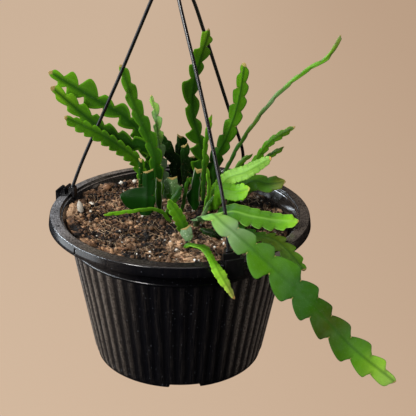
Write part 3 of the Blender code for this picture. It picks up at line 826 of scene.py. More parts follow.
class Tone(Enum):
    """Material slots of the stems."""

    DEEP = "green_deep"
    DARK = "green_dark"
    MID = "green_mid"
    BRIGHT = "green_bright"
    LIGHT = "green_light"
    LIME = "green_lime"
    PALE = "green_pale"
    OLIVE = "green_olive"
    GREY = "green_grey"
    GLAUCOUS = "green_glaucous"


class MarginStyle(Enum):
    """How long the teeth are that run along a stem's margin besides its lobes."""

    PLAIN = 0.0
    TOOTHED = 1.1


@dataclass(frozen=True)
class Stem:
    """One leafy stem: a flat lobed blade on a round stalk that stands in the soil."""

    name: str
    root: Point                # x, y of the stalk
    path: tuple[Point, ...]    # points of the midrib above the soil, root to tip
    left: Point                # half width at the notches, then at the tip of each lobe in turn
    right: Point
    pitch: float               # from one lobe to the next on the same side
    face: Point = CAMERA_SIDE  # way the broad side looks near the root
    face_tip: Point = ()       # and near the tip
    tone: Tone = Tone.MID
    phase: float = 0.0         # shifts the lobes, as a part of the pitch
    left_notches: Point = ()   # where lobes of uneven length part, along the midrib
    right_notches: Point = ()
    left_waists: Point = ()    # half width at each notch in turn, where it varies
    right_waists: Point = ()
    lean: Point = (0.11, 0.11)     # how far lobes lean ahead, left and right, as a part of their length
    cut: bool = False          # a stump, cut off square
    stalk: float = 2.3
    ramp: float = 12.0         # length over which the stalk widens to the blade
    taper: float = 10.0        # length over which the lobes shrink towards the tip
    round_off: float = 1.0     # below 1 for lobes with blunter ends
    cup: float = 0.0           # how far the margins bend forward at full width
    style: MarginStyle = MarginStyle.PLAIN
    finish: LeafFinish | None = None


# Finishes of the stems that have none of their own, then those of single stems
TONES = {
    Tone.DEEP: LeafFinish(
        hues("INK INK INK FOREST"), rib=Hue.INK, edge=Hue.MOSS, edge_share=0.5, flecks=0.1),
    Tone.DARK: LeafFinish(hues("FOREST FOREST MOSS MOSS"), rib=Hue.INK, edge=Hue.LEAF),
    Tone.MID: LeafFinish(hues("FOREST MOSS LEAF OLIVE"), edge=Hue.GRASS),
    Tone.LIGHT: LeafFinish(hues("MOSS MOSS LEAF LEAF GRASS"), edge=Hue.LIME),
    Tone.LIME: LeafFinish(hues("MOSS MOSS LEAF LEAF LEAF"), edge=Hue.LIME, rib=Hue.LEAF),
    Tone.OLIVE: LeafFinish(hues("MOSS MOSS LEAF LEAF BRONZE"), edge=Hue.BRONZE),
    Tone.GREY: LeafFinish(hues("MOSS SAGE SAGE"), edge=Hue.SAGE, flecks=0.4, bloom=0.25),
}

HIGH = LeafFinish(
    hues("FOREST FOREST MOSS MOSS LEAF GRASS"), rib_share=0.95, rib_width=4.6, edge=Hue.GRASS,
    edge_share=0.75, edge_width=4.0, dry=5.0)
LOW = replace(
    HIGH, shades=hues("MOSS MOSS LEAF MOSS LEAF LEAF"), rib_share=0.7, rib_width=2.4, edge_width=2.5,
    dry=3.5)
UPRIGHT = LeafFinish(
    hues("MOSS FOREST MOSS MOSS LEAF LEAF"), rib_share=0.7, rib_width=3.0, edge=Hue.GRASS, edge_share=0.5,
    edge_width=2.0, streak=0.6, dry=4.0)
TALL = LeafFinish(
    hues("INK FOREST MOSS MOSS MOSS LEAF SPRING"), rib_share=0.8, rib_width=3.0, edge=Hue.GRASS,
    edge_share=0.5, edge_width=3.5, dry=2.5)
CRENATE = LeafFinish(
    hues("INK FOREST MOSS LEAF LEAF GRASS"), rib_share=0.9, edge=Hue.FOREST, edge_share=0.5, streak=0.8,
    dry=4.5, scar=Hue.STRAW)
SLIM = LeafFinish(hues("INK FOREST MOSS LEAF LEAF SPRING"))
WHIP = LeafFinish(
    hues("INK FOREST FOREST OLIVE SAGE GRASS GRASS BRONZE"), rib=Hue.MOSS, edge=Hue.SAGE, edge_share=0.5,
    edge_width=1.2, mottle=0.15)
UPPER = LeafFinish(hues("MOSS MOSS LEAF LEAF OLIVE"), edge=Hue.GRASS, edge_share=0.5, streak=0.7, dry=3.0)
BROAD = LeafFinish(
    hues("MOSS LEAF LEAFY LEAFY LEAFY"), rib=Hue.LEAF, rib_share=0.5, edge=Hue.GRASS, edge_share=0.4,
    dry=2.5, scar=Hue.RUST, mottle=0.3, streak=0.5)
# The darker FOREST stop near the arching stem's root is a painted shadow.
ARCHING = LeafFinish(
    hues("MOSS FOREST MOSS LEAF LEAF LEAF GRASS SPRING"), rib=Hue.LEAFY, rib_width=1.5, edge=Hue.PALE)
# The trailing stem's pale bluish greens near its root are painted sheen where its upturned lobes catch the
# light; its thin dark margin is a painted shadow along the edge.
TRAILING = LeafFinish(
    hues("SAGE SAGE SAGE DEW DEW LEAFY SAGE LEAF LEAF MOSS MOSS OLIVE LEAF GRASS LIME PALE"), rib=Hue.MOSS,
    rib_width=2.2, edge=Hue.FOREST, edge_share=0.5, edge_width=1.0, bloom=0.06, streak=0.12, dry=2.5,
    scar=Hue.STRAW)
OVER_RIM = LeafFinish(
    hues("MOSS LEAF LEAF LEAF GRASS LIME STRAW"), rib=Hue.LEAF, edge=Hue.LIME, dry=3.5, scar=Hue.RUST)
PAD = LeafFinish(
    hues("MOSS SAGE SAGE"), rib=Hue.SAGE, rib_share=0.2, edge=Hue.SAGE, flecks=0.9, bloom=0.3, dry=1.2,
    mottle=0.5)
LOBED = LeafFinish(
    hues("PINE PINE PINE"), rib=Hue.INK, rib_share=0.4, edge=Hue.PINE, dry=1.6, flecks=0.0, bloom=0.0)
CREEPING = LeafFinish(hues("MOSS MOSS LEAF GRASS GRASS"), rib=Hue.LEAF, edge_share=0.4)
LEAFLET = LeafFinish(hues("INK LEAF FOREST FOREST"), edge=Hue.MOSS, dry=0.8, flecks=0.0)

STEMS = (
    # left group, behind and in front of the left strand
    Stem("stem_left_high", (-30, 72), ((-38, 68, 46), (-59, 64, 74), (-85, 60, 92), (-133, 55, 123)),
         (3.8, 10.5, 12, 12, 8, 4), (3.8, 11, 9.5, 15.5, 12.5, 6), 20.0, lean=(0.11, 0.07),
         left_notches=(97, 117, 139, 159, 169), right_notches=(87, 107, 126, 149, 166), finish=HIGH),
    Stem("stem_left_middle", (-22, 60), ((-33, 56, 40), (-54, 50, 51), (-84, 43, 71), (-128, 34, 114)),
         (4.4, 7.6), (5.0, 9.5), 17.0, tone=Tone.DARK, phase=0.1, taper=30.0,
         finish=replace(HIGH, shades=hues("FOREST FOREST FOREST MOSS LEAF SPRING"), rib_width=3.4,
                        edge_width=3.0)),
    Stem("stem_left_low", (-38, 46), ((-42, 42, 30), (-57, 34, 50), (-81, 22, 71), (-113, 12, 91)),
         (6.0, 9.0), (3.6, 5.8), 10.5, tone=Tone.LIGHT, taper=25.0, ramp=45.0, finish=LOW),
    Stem("stem_left_upright", (-26, 42), ((-27, 40, 33), (-31, 40, 54), (-47, 40, 94), (-60, 40, 136)),
         (3.8, 6.2), (5.2, 8.4), 18.0, phase=0.2, taper=40.0, finish=UPRIGHT),
    Stem("stem_left_pale", (-17, 54), ((-21, 54, 29), (-24.5, 54, 58), (-27.5, 54, 84), (-32, 54, 101)),
         (1.2, 4.0), (2.4, 6.0), 15.0, tone=Tone.GREY, phase=0.5, taper=25.0,
         finish=replace(TONES[Tone.GREY], shades=hues("MOSS SAGE SAGE LEAFY LEAFY PALE"), scar=Hue.STRAW)),
    # middle group
    Stem("stem_centre_tall", (17, 62), ((20, 58, 37), (10, 46, 83), (11, 30, 123), (25, 8, 181)),
         (3.6, 12, 7, 12, 9, 9, 6), (3.6, 8, 9, 8.5, 8, 10, 8, 4), 20.0, lean=(0.16, 0.02), tone=Tone.DARK,
         face=(0.2, -0.9, 0.3), face_tip=(0.5, -0.8, 0.3), left_notches=(63, 82, 112, 145, 163, 182),
         right_notches=(71, 92, 122, 145, 164, 182, 195), finish=TALL),
    Stem("stem_centre_slim", (22, 48), ((23, 46, 36), (24, 44, 56), (29, 42, 86)), (1.8, 2.9), (1.8, 2.9),
         12.0, tone=Tone.LIGHT, stalk=2.0, finish=SLIM),
    Stem("stem_centre_crenate", (34, 70), ((33, 68, 24), (46, 64, 57), (56, 59, 94), (61, 54, 136)),
         (4.8, 7.8), (5.0, 8.2), 17.0, lean=(0.11, 0.08), tone=Tone.DARK, taper=40.0,
         left_notches=(70, 89, 107, 125, 142), right_notches=(64, 83, 100, 117, 132), finish=CRENATE),
    Stem("stump_back_left", (-8, 78), ((-7, 78, 18), (-16, 80, 36), (-24, 82, 50)), (5.0, 8), (4.0, 6.5),
         16.0, tone=Tone.DEEP),
    Stem("stump_back_cut", (-2, 90), ((-4, 90, 19), (-3, 90, 45)), (3.5, 5), (3.5, 8), 18.0, tone=Tone.DEEP,
         cut=True, phase=0.3),
    Stem("stump_back_middle", (4, 70), ((3, 70, 13), (2, 70, 42)), (3.5, 4.5), (3.5, 7), 18.0,
         tone=Tone.DEEP, cut=True, phase=0.2),
    Stem("stump_back_right", (14, 84), ((12, 84, 4), (12, 84, 25)), (4.5, 5.5), (4.5, 5.5), 18.0,
         tone=Tone.DEEP, cut=True),
    # right group
    Stem("stem_right_whip", (36, 52),
         ((48, 50, 31), (66, 44, 68), (91, 36, 107), (116.5, 28, 134.5), (139, 22, 152.7),
          (149.3, 18, 174.6)), (1.5, 2.4), (1.4, 2.4), 24.0, ramp=20.0, finish=WHIP),
    Stem("stem_right_upper", (44, 60), ((74.8, 56, 32.2), (89.1, 52, 54.6), (113, 46, 74)), (2.8, 4.0),
         (2.8, 4.4), 10.0, taper=20.0, finish=UPPER),
    Stem("stem_right_short", (54, 68), ((82, 64, 28), (104, 60, 47)), (2.0, 2.6), (2.4, 3.4), 9.0),
    Stem("stem_right_bud", (44, 76), ((59, 75, 21), (73, 75, 33)), (1.8, 2.4), (2.4, 3.2), 10.0),
    Stem("stem_right_broad", (30, 30), ((43.5, 20, 23.5), (65.4, 10, 38.6), (88, 2, 56.5)), (6.8, 7.8),
         (6.4, 7.6), 7.0, tone=Tone.PALE, taper=38.0, face=(0.1, -0.8, 0.6), style=MarginStyle.TOOTHED,
         finish=BROAD),
    Stem("stem_right_small", (26, 20), ((40, 10, 16.5), (55, 4, 19), (68, -2, 25.5)), (6.5, 8), (7.5, 9.5),
         6.0, tone=Tone.PALE, face=(0.0, -0.8, 0.6), style=MarginStyle.TOOTHED,
         finish=replace(BROAD, shades=hues("MOSS LEAF LEAF LEAF GRASS SPRING"), scar=Hue.SPRING)),
    Stem("stem_right_olive", (48, 40), ((70, 40, 15), (88, 34, 16), (105, 30, 20)), (6.5, 8),
         (6.5, 7, 8, 9, 10.5, 9, 6.5, 4.5), 13.0, right_waists=(6, 7, 8, 9.5, 9, 7, 4.5), tone=Tone.OLIVE,
         face=(0.0, -0.8, 0.6)),
    Stem("stem_right_arching", (36, 0), ((50, -16, 6), (70, -26, 6), (92, -34, 6), (114, -42, 9)),
         (7.4, 8, 8, 8.4, 8.6, 8.6, 8, 7.4, 6.8, 6), (8.5, 12, 12, 12, 12, 12, 12, 12, 10.5, 7.5), 11.5,
         left_waists=(7, 7.5, 8, 8, 8, 7.4, 6.8, 6.2, 5.4),
         right_waists=(8.5, 8.5, 8.5, 8.5, 8.5, 8.5, 8.5, 8.5, 7.5, 5.5), tone=Tone.BRIGHT,
         face=(0.0, -0.7, 0.7), cup=1.5, finish=ARCHING),
    Stem("stem_trailing", (16, -14),
         ((24, -69, 21), (31, -109, 43), (42, -127, 41.5), (65, -142, 27), (118, -156, -19),
          (156, -152, -62), (199, -145, -102)), (6, 11.3, 12.2, 15.3, 18, 15.9, 12.8, 13.3, 13.5, 10.2, 5.5),
         (5.6, 9.8, 12.4, 17.4, 17, 17, 16, 16.8, 15, 10.6), 26.0, lean=(0.09, 0.11),
         left_waists=(6.5, 6.8, 7.2, 10.3, 10, 9.3, 6.9, 6.6, 6.5, 4.2),
         right_waists=(5.6, 6.5, 5.8, 6, 8, 9.2, 9.2, 9.2, 8.2), tone=Tone.GLAUCOUS, taper=20.0, ramp=38.0,
         stalk=2.8, face=(0.0, -0.5, 0.85), face_tip=(0.3, -0.9, 0.3),
         left_notches=(120, 144, 165, 184, 215, 236.5, 257, 287, 316.5, 337),
         right_notches=(122, 143, 164, 190, 219, 242, 269, 300, 326), finish=TRAILING),
    Stem("stem_trailing_back", (40, -18), ((70, -52, -3), (83, -70, 4), (95, -88, 5), (114, -118, -5)),
         (5.5, 9.5), (5.5, 9.5), 15.0, taper=30.0, face=(0.0, -0.4, 0.9),
         finish=replace(UPPER, shades=hues("FOREST FOREST OLIVE LEAF"), dry=2.0)),
    # front group
    Stem("stem_front_young", (6, -43), ((3, -45, 9), (-10, -43, 30)), (6.0, 7.5), (3.6, 4.6), 7.0,
         tone=Tone.LIME, taper=16.0, ramp=9.0, finish=replace(TONES[Tone.LIME], rib=Hue.MOSS)),
    Stem("stump_front_pad", (9, -54), ((9, -54, -5), (7, -52, 4)), (5.0, 6.5), (5.0, 6.5), 16.0,
         tone=Tone.GREY, cut=True, ramp=6.0, finish=PAD),
    Stem("stem_front_over_rim", (7, -64),
         ((14, -74, -3), (25, -106, 8), (31.7, -124, 6.5), (38.1, -138, 0.9), (52, -142, -22)),
         (3.2, 4, 4, 5, 7, 7.5, 6, 4, 3.6, 3.8, 5, 6, 6, 5),
         (3, 3.4, 3.4, 3.4, 3.4, 3.6, 3.6, 3.4, 3.4, 3.6, 4.4, 5.4, 5.6, 4.6), 8.5,
         left_waists=(3.2, 3.2, 3.4, 4.2, 4.6, 4.2, 3, 2.6, 2.6, 3, 4, 4.4, 4, 3.2),
         right_waists=(3, 3, 3, 3, 3, 3, 2.6, 2.6, 2.6, 2.8, 3.4, 4, 4, 3.4), tone=Tone.LIME, taper=30.0,
         face=(0.2, -0.6, 0.8), ramp=9.0, style=MarginStyle.TOOTHED, finish=OVER_RIM),
    Stem("stump_front_lobed", (-34, 2), ((-33, 1, 8), (-33, 4, 19), (-33, 8, 37)), (6.0, 26.5, 4.6),
         (6.0, 8), 16.0, lean=(0.07, 0.11), left_waists=(6.0, 4.0), cut=True, ramp=8.0, stalk=2.8,
         left_notches=(5, 32), round_off=0.5, finish=LOBED),
    Stem("stump_front_left", (-41, 17), ((-40, 15, 31), (-40, 15, 47)), (1.7, 2.1), (1.7, 2.1), 12.0,
         tone=Tone.DARK, cut=True, stalk=2.0,
         finish=replace(LOBED, shades=hues("PINE PINE FOREST FOREST"), scar=Hue.STRAW, dry=3.0)),
    Stem("stump_folded", (-21, 17), ((-22, 15, 5), (-22, 15, 26)), (2.8, 3.6), (2.8, 3.6), 14.0, cut=True,
         stalk=2.0, finish=replace(LOBED, shades=hues("FOREST MOSS MOSS"), edge=Hue.CREAM, edge_share=0.6)),
    Stem("stem_front_creeping", (-10, -8), ((-22, -13, 6), (-47, -20, 7), (-74, -24, 4)), (1.7, 2.5),
         (1.3, 1.6), 13.0, tone=Tone.LIGHT, stalk=2.0, ramp=9.0, finish=CREEPING),
    Stem("stem_front_leaf", (-14, 4), ((-8, 4, 8), (1, 8, 23)), (2.0, 2.6), (3.2, 4.2), 9.0, tone=Tone.LIGHT,
         stalk=2.0, ramp=8.0, finish=LEAFLET),
    Stem("stump_grey", (-12, 28), ((-8, 27, 4), (-9, 26, 23)), (5.0, 9.5), (5.0, 8.5), 20.0, tone=Tone.GREY,
         cut=True, phase=0.1, finish=replace(PAD, shades=hues("FOREST MOSS SAGE"), flecks=0.7, bloom=0.15)),
    Stem("stump_centre", (14, 22), ((14, 20, 0), (13, 19, 15), (16, 19, 35)), (4.0, 8, 3.2), (4.5, 6), 26.0,
         left_waists=(4.0, 3.2), tone=Tone.DEEP, cut=True, ramp=8.0,
         finish=replace(LOBED, edge=Hue.CREAM, edge_share=0.5, dry=3.0)),
    Stem("stem_centre_thread", (24, 6), ((25, 8, 2), (28, 10, 18), (26, 10, 42)), (1.5, 2.1), (1.5, 2.1),
         12.0, tone=Tone.LIGHT, stalk=1.6, ramp=6.0),
    Stem("stem_left_thread", (1, 13), ((4, 13, 10), (7, 13, 31)), (1.4, 2.0), (1.4, 2.0), 12.0,
         tone=Tone.DARK, stalk=1.6, ramp=6.0),
    Stem("stem_pale_stalk", (23, -6), ((24, -4, 0), (33, 3, 16)), (1.5, 2.0), (1.5, 2.0), 12.0,
         tone=Tone.GREY, stalk=1.6, ramp=6.0,
         finish=replace(TONES[Tone.GREY], shades=hues("SAGE SAGE MOSS FOREST"), bloom=0.03)),
    Stem("stem_dark_low", (40, -40), ((34, -46, -4), (19, -42, -1)), (2.6, 3.6), (2.6, 3.6), 8.0,
         tone=Tone.DEEP, stalk=1.8, ramp=7.0),
)


def smooth_path(points: Sequence[Point], step: float) -> tuple[Array, Array, Array]:
    """Sample a Catmull-Rom curve through points, evenly spaced by about step.

    Args:
        points: the points, the first of them where the curve starts upward.
        step: distance between samples.

    Returns:
        The samples, their tangents and their distances along the curve.
    """
    knots = np.asarray(points, float)
    fine = curve(knots, knots[0] - (0, 0, np.linalg.norm(knots[1] - knots[0])), 24)
    along = np.concatenate([[0.0], np.cumsum(np.linalg.norm(np.diff(fine, axis=0), axis=1))])
    s = np.linspace(0, along[-1], max(4, int(round(along[-1] / step))) + 1)
    samples = np.stack([np.interp(s, along, fine[:, k]) for k in range(3)], axis=1)
    tangents = np.gradient(samples, s, axis=0)
    tangents[0] = (0, 0, 1)
    return samples, unit(tangents), s


@dataclass(frozen=True)
class LobedBlade:
    """Works out the surface of one stem."""

    stem: Stem
    seed: int
    step: float = 0.75
    rib_half: float = 1.5              # half thickness at the midrib
    edge_half: float = 0.75            # and towards the margins
    rib_reach: float = 2.2             # how wide the midrib is
    rise: float = 1.0                  # where above the soil the blade starts
    rounding: float = 7.0              # length over which the tip is rounded
    squaring: float = 9.0              # length over which lobes end at a cut
    tooth: float = 3.1                 # from one tooth to the next
    lobe_share: float = 0.35           # how much of its lobes' depth a toothed margin keeps
    tilt: float = 0.4                  # how far a lobe may bend out of the blade
    tones: Point = (0.86, 1.14)        # how much darker or lighter a lobe may be
    wave_height: float = 0.35          # how far the blade waves, and how long a wave is
    wave_length: float = 31.0
    across: Point = (0, 0.06, 0.13, 0.22, 0.34, 0.48, 0.63, 0.77, 0.88, 0.95, 0.985, 1.0)

    def turns(self, s: Array, notches: Point, phase: float) -> Array:
        """Count the lobes passed along the midrib, with parts of a lobe.

        Args:
            s: distances along the midrib.
            notches: where lobes part, or nothing for even ones.
            phase: shift of even lobes.

        Returns:
            The count at each distance.
        """
        pitch, beyond = self.stem.pitch, 9
        if not notches:
            return s / pitch + phase
        marks = [notches[0] - beyond * pitch, *notches, notches[-1] + beyond * pitch]
        return np.interp(s, marks, [-beyond, *range(len(notches)), len(notches) + beyond - 1])

    def blade(self, s: Array) -> Array:
        """Share of the blade, from 0 on the round stalk to 1."""
        return ease((s - self.rise) / self.stem.ramp)

    def margin(self, s: Array, sign: int) -> dict[str, Array]:
        """Work out one margin.

        Half width: notch width + (lobe width - notch width) * sin(pi * part of the lobe).
        Each point moves ahead by up to twice the stem's lean times the lobe's length, most
        in the middle of the lobe, so that lobes lean towards the tip.

        Args:
            s: distances along the midrib.
            sign: -1 for the left margin, 1 for the right.

        Returns:
            Arrays named width, ahead, bend, part and lobe.
        """
        stem, many = self.stem, 128
        rng = np.random.default_rng(self.seed * 2 + (sign > 0))
        widths, waists, notches, phase, lean = (
            (stem.left, stem.left_waists, stem.left_notches, stem.phase, stem.lean[0]) if sign < 0 else
            (stem.right, stem.right_waists, stem.right_notches, stem.phase + 0.5, stem.lean[1]))
        turns = self.turns(s, notches, phase)
        tip, reach = self.shrink(s)
        blade = self.blade(s)
        lobe = np.floor(turns).astype(int)
        wide = np.array(widths[1:], float)[np.clip(lobe, 0, len(widths) - 2)]
        part = turns % 1.0
        waist = np.interp(turns, np.arange(len(waists)), waists) if waists else widths[0]
        depth = self.lobe_share if stem.style is MarginStyle.TOOTHED else 1.0
        waist = wide + (waist - wide) * depth
        width = waist + (wide - waist) * np.sin(np.pi * part) ** stem.round_off * reach
        teeth = stem.style.value * ((-s / self.tooth + 0.3 * sign) % 1.0 - 0.6)
        width = (stem.stalk * (1 - blade) + (width + teeth * reach) * blade) * tip
        ahead = lean * (1 - np.cos(math.tau * turns)) / np.gradient(turns, s) * blade * tip
        tilt = rng.uniform(-self.tilt, self.tilt, many)[lobe % many] * np.sin(np.pi * part) ** 2
        bend = stem.cup * blade * (width / widths[1]) ** 2 + tilt * blade * np.clip(width / 10, 0, 1)
        return {"width": width, "ahead": ahead, "bend": bend, "part": part,
                "lobe": rng.uniform(*self.tones, many)[lobe % many]}

    def shrink(self, s: Array) -> tuple[Array, Array]:
        """Share of the full width left near the tip, and of the lobes' depth near a cut.

        Args:
            s: distances along the midrib.

        Returns:
            The two shares.
        """
        left_over = s[-1] - s
        if self.stem.cut:
            return np.ones_like(s), ease(left_over / self.squaring)
        rounded = np.sqrt(np.clip(left_over / self.rounding, 0.004, 1.0))
        return rounded * (0.6 + 0.4 * ease(left_over / self.stem.taper)), np.ones_like(s)

    def shades(self, s: Array, finish: LeafFinish) -> Array:
        """Blend the finish's colours along the stem.

        Args:
            s: distances along the midrib.
            finish: the finish.

        Returns:
            A linear colour for each distance.
        """
        stops = np.array([linear(hue)[:3] for hue in finish.shades])
        at = np.linspace(0, 1, len(stops))
        return np.stack([np.interp(s / s[-1], at, stops[:, k]) for k in range(3)], axis=1)

    def shell(self, finish: LeafFinish) -> Shell:
        """Skin the stem.

        A point is midrib + (margin - midrib) * |t| + face * h, with t from -1 to 1 across
        the blade. h is a round stalk near the root, stalk * sqrt(1 - t^2), and on the blade
        edge * sqrt(1 - t^6) + (rib - edge) * exp(-(distance / 2.2)^2), thinner at notches.

        Args:
            finish: its colours, for the marks.

        Returns:
            The closed skin with the marks shade, leaf and lobe.
        """
        stem = self.stem
        start = (*stem.root, SOIL_Z - SOIL_LEAN * stem.root[0])
        centre, tangent, s = smooth_path((start, *stem.path), self.step)
        mix = (s / s[-1])[:, None]
        face = np.array(stem.face) * (1 - mix) + np.array(stem.face_tip or stem.face) * mix
        face = unit(face - np.sum(face * tangent, axis=1)[:, None] * tangent)
        side = np.cross(tangent, face)
        tip = self.shrink(s)[0]
        blade = self.blade(s)[:, None]
        half = np.array(self.across)
        over = np.concatenate([-half[::-1], half[1:]])
        t = np.concatenate([over, over[-2:0:-1]])[None]
        upper = np.concatenate([np.ones(len(over)), -np.ones(len(over) - 2)])[None]
        left, right = self.margin(s, -1), self.margin(s, 1)

        both = {key: np.where(t < 0, left[key][:, None], right[key][:, None]) for key in left}
        width, size = both["width"], np.abs(t)
        notch = (1 - np.sin(np.pi * both["part"])) ** 2
        thin = np.sqrt(np.clip(tip, 0.1, 1))[:, None] if not stem.cut else 1.0
        lens = self.edge_half * np.sqrt(1 - size ** 6)
        lens = lens + (self.rib_half - self.edge_half) * np.exp(-(size * width / self.rib_reach) ** 2)
        lens = lens * (1 - 0.3 * notch * size)
        h = ((1 - blade) * stem.stalk * np.sqrt(1 - size ** 2) + blade * lens) * thin
        rng = np.random.default_rng(900 + self.seed)
        wave = np.sin(math.tau * s / self.wave_length + rng.uniform(0, 6))[:, None] * t * blade
        rings = (centre[:, None] + side[:, None] * (t * width)[..., None]
                 + tangent[:, None] * (both["ahead"] * size)[..., None]
                 + face[:, None] * (upper * h + both["bend"] * size + self.wave_height * wave)[..., None])
        rings = np.concatenate([rings[:1] - (0, 0, STALK_DEPTH), rings])
        shell = Shell.from_rings(rings, rings[0].mean(axis=0), rings[-1].mean(axis=0))

        whole = np.broadcast_to(s[:, None], width.shape)
        leaf = np.stack([t * width, (1 - size) * width, whole], axis=-1)
        lobe = np.stack([notch * blade, s[-1] - whole, np.broadcast_to(upper, width.shape)], axis=-1)
        tint = self.shades(s, finish)[:, None] * (1 + (both["lobe"] - 1) * size * blade)[..., None]
        tint = np.concatenate([tint, np.ones((*width.shape, 1))], axis=-1)
        ends = {"leaf": (leaf, (0, 3, s[-1])), "lobe": (lobe, (0, 0, 1)), "shade": (tint, tint[-1, 0])}
        shell.marks = {
            key: np.concatenate([rows[0], rows.reshape(-1, rows.shape[-1]), [rows[0, 0]], [last]])
            for key, (rows, last) in ends.items()}
        return shell


@dataclass
class Plant:
    """All leafy stems and stumps."""

    skin: LeafSkin
    stems: tuple[Stem, ...] = STEMS

    def build(self) -> None:
        """Make each stem, dress it and let it stand for its solid."""
        for number, stem in enumerate(self.stems):
            finish = stem.finish or TONES[stem.tone]
            shell = LobedBlade(stem, number + 1).shell(finish)
            piece = shell.to_object(stem.name + "_skin", self.skin.material(stem.name, finish))
            mount(piece, stem.tone.value, stem.name)


# Pot


@dataclass
class Pot:
    """The fluted black pot with its flat rim, band, bead and foot ring."""

    skin: PlasticSkin
    rim_r: float = 127.5
    rim_inner_r: float = 118.0
    band_r: float = 129.2
    band_height: float = 9.5
    band_wall: float = 2.0
    shoulder_r: float = 107.0          # the cone's outer radius at its top
    shoulder_z: float = -30.0
    bead_z: float = -28.0
    height: float = 152.0
    foot_r: float = 84.3
    foot_height: float = 5.0
    foot_width: float = 3.0
    wall: float = 1.8
    flutes: int = 54
    flute_depth: float = 0.9
    per_flute: int = 12
    notch_angle: float = -84.5
    notch_half: float = 10.25
    notch_height: float = 3.5
    rim_holes: Point = (-159.0, -34.4, 100.0)      # angles in degrees
    rim_hole_at: float = 122.5                     # distance from the axis
    drains: Point = (30, 90, 150, 210, 270, 330)
    drain_at: float = 60.0
    band_slots: Point = (-137.0, 1.0, 110.0)
    slot_half: float = 0.6
    sharp: float = 50.0                # edges over this many degrees stay sharp
    # The pot's flanks get a painted sheen of reflected light on their ridges.
    finish: PlasticFinish = PlasticFinish(top_dust=0.75, side_dust=0.06, flank_sheen=0.62)

    def outer(self, z: float) -> float:
        """Outer radius of the cone at height z, in the middle of the flutes."""
        slope = (self.shoulder_r - self.foot_r) / (self.height + self.shoulder_z)
        return self.shoulder_r + slope * (z - self.shoulder_z)

    def inner(self, z: float) -> float:
        """Inner radius of the cone's wall at height z."""
        return self.outer(z) - self.wall

    def wave(self, angle: Array) -> Array:
        """Ridges round the pot, -1 to 1: a triangle wave, asin(cos(54 a)), a little rounded."""
        return np.arcsin(0.97 * np.cos(self.flutes * angle)) / math.asin(0.97)

    @property
    def floor_top(self) -> float:
        """Height of the inside of the floor."""
        return -self.height + self.foot_height + 2.2

    def profile(self) -> Array:
        """Rings from the middle of the underside, up outside and down inside.

        Returns:
            Rows of (radius, height, share of the flutes' depth).
        """
        low, foot, foot_in = -self.height, self.foot_r, self.foot_r - self.foot_width
        under, band, floor = low + self.foot_height, -self.band_height, self.floor_top
        bead = self.outer(self.bead_z)
        rim, hem, hem_in = self.rim_r, self.band_r, self.band_r - self.band_wall
        below = (
            (20, under), (56, under), (64, under), (foot_in - 1, under), (foot_in - 0.6, under - 0.5),
            (foot_in, low + 0.5), (foot_in + 0.4, low), (foot - 0.8, low), (foot - 0.3, low + 0.4),
            (foot, under - 1.6), (foot + 0.1, under - 0.6), (foot + 0.8, under - 0.2),
            (foot + 0.8, under + 0.5),
            (self.outer(under + 1.2) + 0.2, under + 1.2))
        fluted = (
            (-145, 0.15), (-143.5, 0.8), *((z, 1) for z in (-142, -130, -115, -100, -85, -70, -55, -42, -34)),
            (-32.2, 0.95), (-31, 0.6))
        above = (
            (bead + 0.4, -29.3), (bead + 1.0, -28.8), (bead + 1.2, -28.2), (bead + 0.9, -27.6),
            (bead + 0.3, -27.2),
            (self.outer(-26) + 0.25, -26), (self.outer(-19) + 0.3, -19), (self.outer(-13) + 0.5, -13),
            (self.outer(-12) + 1.0, -11.8), (self.rim_inner_r - 1, -3.8), (self.rim_inner_r + 1, -3.0),
            (hem_in - 0.4, -2.4), (hem_in, -2.8), (hem_in, band + 0.3), (hem_in + 0.3, band),
            (hem - 0.35, band),
            (hem, band + 0.4), (hem - 0.5, -5), (rim + 0.65, -1.7), (rim + 0.45, -0.8), (rim + 0.1, -0.25),
            (rim - 0.6, 0.02), (125.2, 0.2), (122.0, 0.5), (119.6, 0.75), (118.7, 0.95), (118.1, 0.8),
            (117.8, 0.2), (117.5, -1.1), (117.1, -1.6), (116.4, -1.7), (115.9, -1.75), (115.4, -2.1),
            (115.0, -2.8),
            *((self.inner(z), z) for z in (-11.5, -13.0, -40.0, -90.0, floor + 1)),
            (self.inner(floor) - 1, floor), (64, floor), (56, floor), (20, floor))
        return np.array([
            *((r, z, 0) for r, z in below), *((self.outer(z), z, share) for z, share in fluted),
            (self.outer(-30) + 0.2, -30, 0.2), *((r, z, 0) for r, z in above)], float)

    def shell(self) -> Shell:
        """Loft the pot.

        The radius of a ring is its own radius + depth * share * wave. Over each foot notch
        the ring's height is raised to the top of the notch.

        Returns:
            The closed skin.
        """
        profile = self.profile()
        a = all_round(self.flutes * self.per_flute)
        r = profile[:, :1] + self.flute_depth * profile[:, 2:] * self.wave(a)
        middles = np.radians(self.notch_angle + np.arange(3) * 120.0)
        off = np.degrees(np.abs((a[:, None] - middles + math.pi) % math.tau - math.pi)).min(axis=1)
        lift = np.clip(-self.height + self.notch_height - profile[:, 1:2], 0, None)
        z = profile[:, 1:2] + lift * ease(self.notch_half + 0.5 - off)
        rings = np.stack([*polar(r, a), z], axis=-1)
        return Shell.from_rings(rings, (0, 0, profile[0, 1]), (0, 0, profile[-1, 1]))

    def ribs(self, points: Array) -> Array:
        """Work out the mark rib.

        Its numbers are how near a ridge lies, the distance round the pot, and the height
        or, on the rim, the radius.

        Args:
            points: points of the pot.

        Returns:
            Three numbers a point.
        """
        x, y, z = points.T
        r, a = np.hypot(x, y), np.arctan2(y, x)
        near = np.abs(r - self.outer(z)) < 1.6 * self.flute_depth
        fluted = near & (z < self.shoulder_z) & (z > 1 - self.height)
        return np.stack([np.where(fluted, self.wave(a), -1), 120 * a, np.where(z > -12, r, z)], axis=-1)

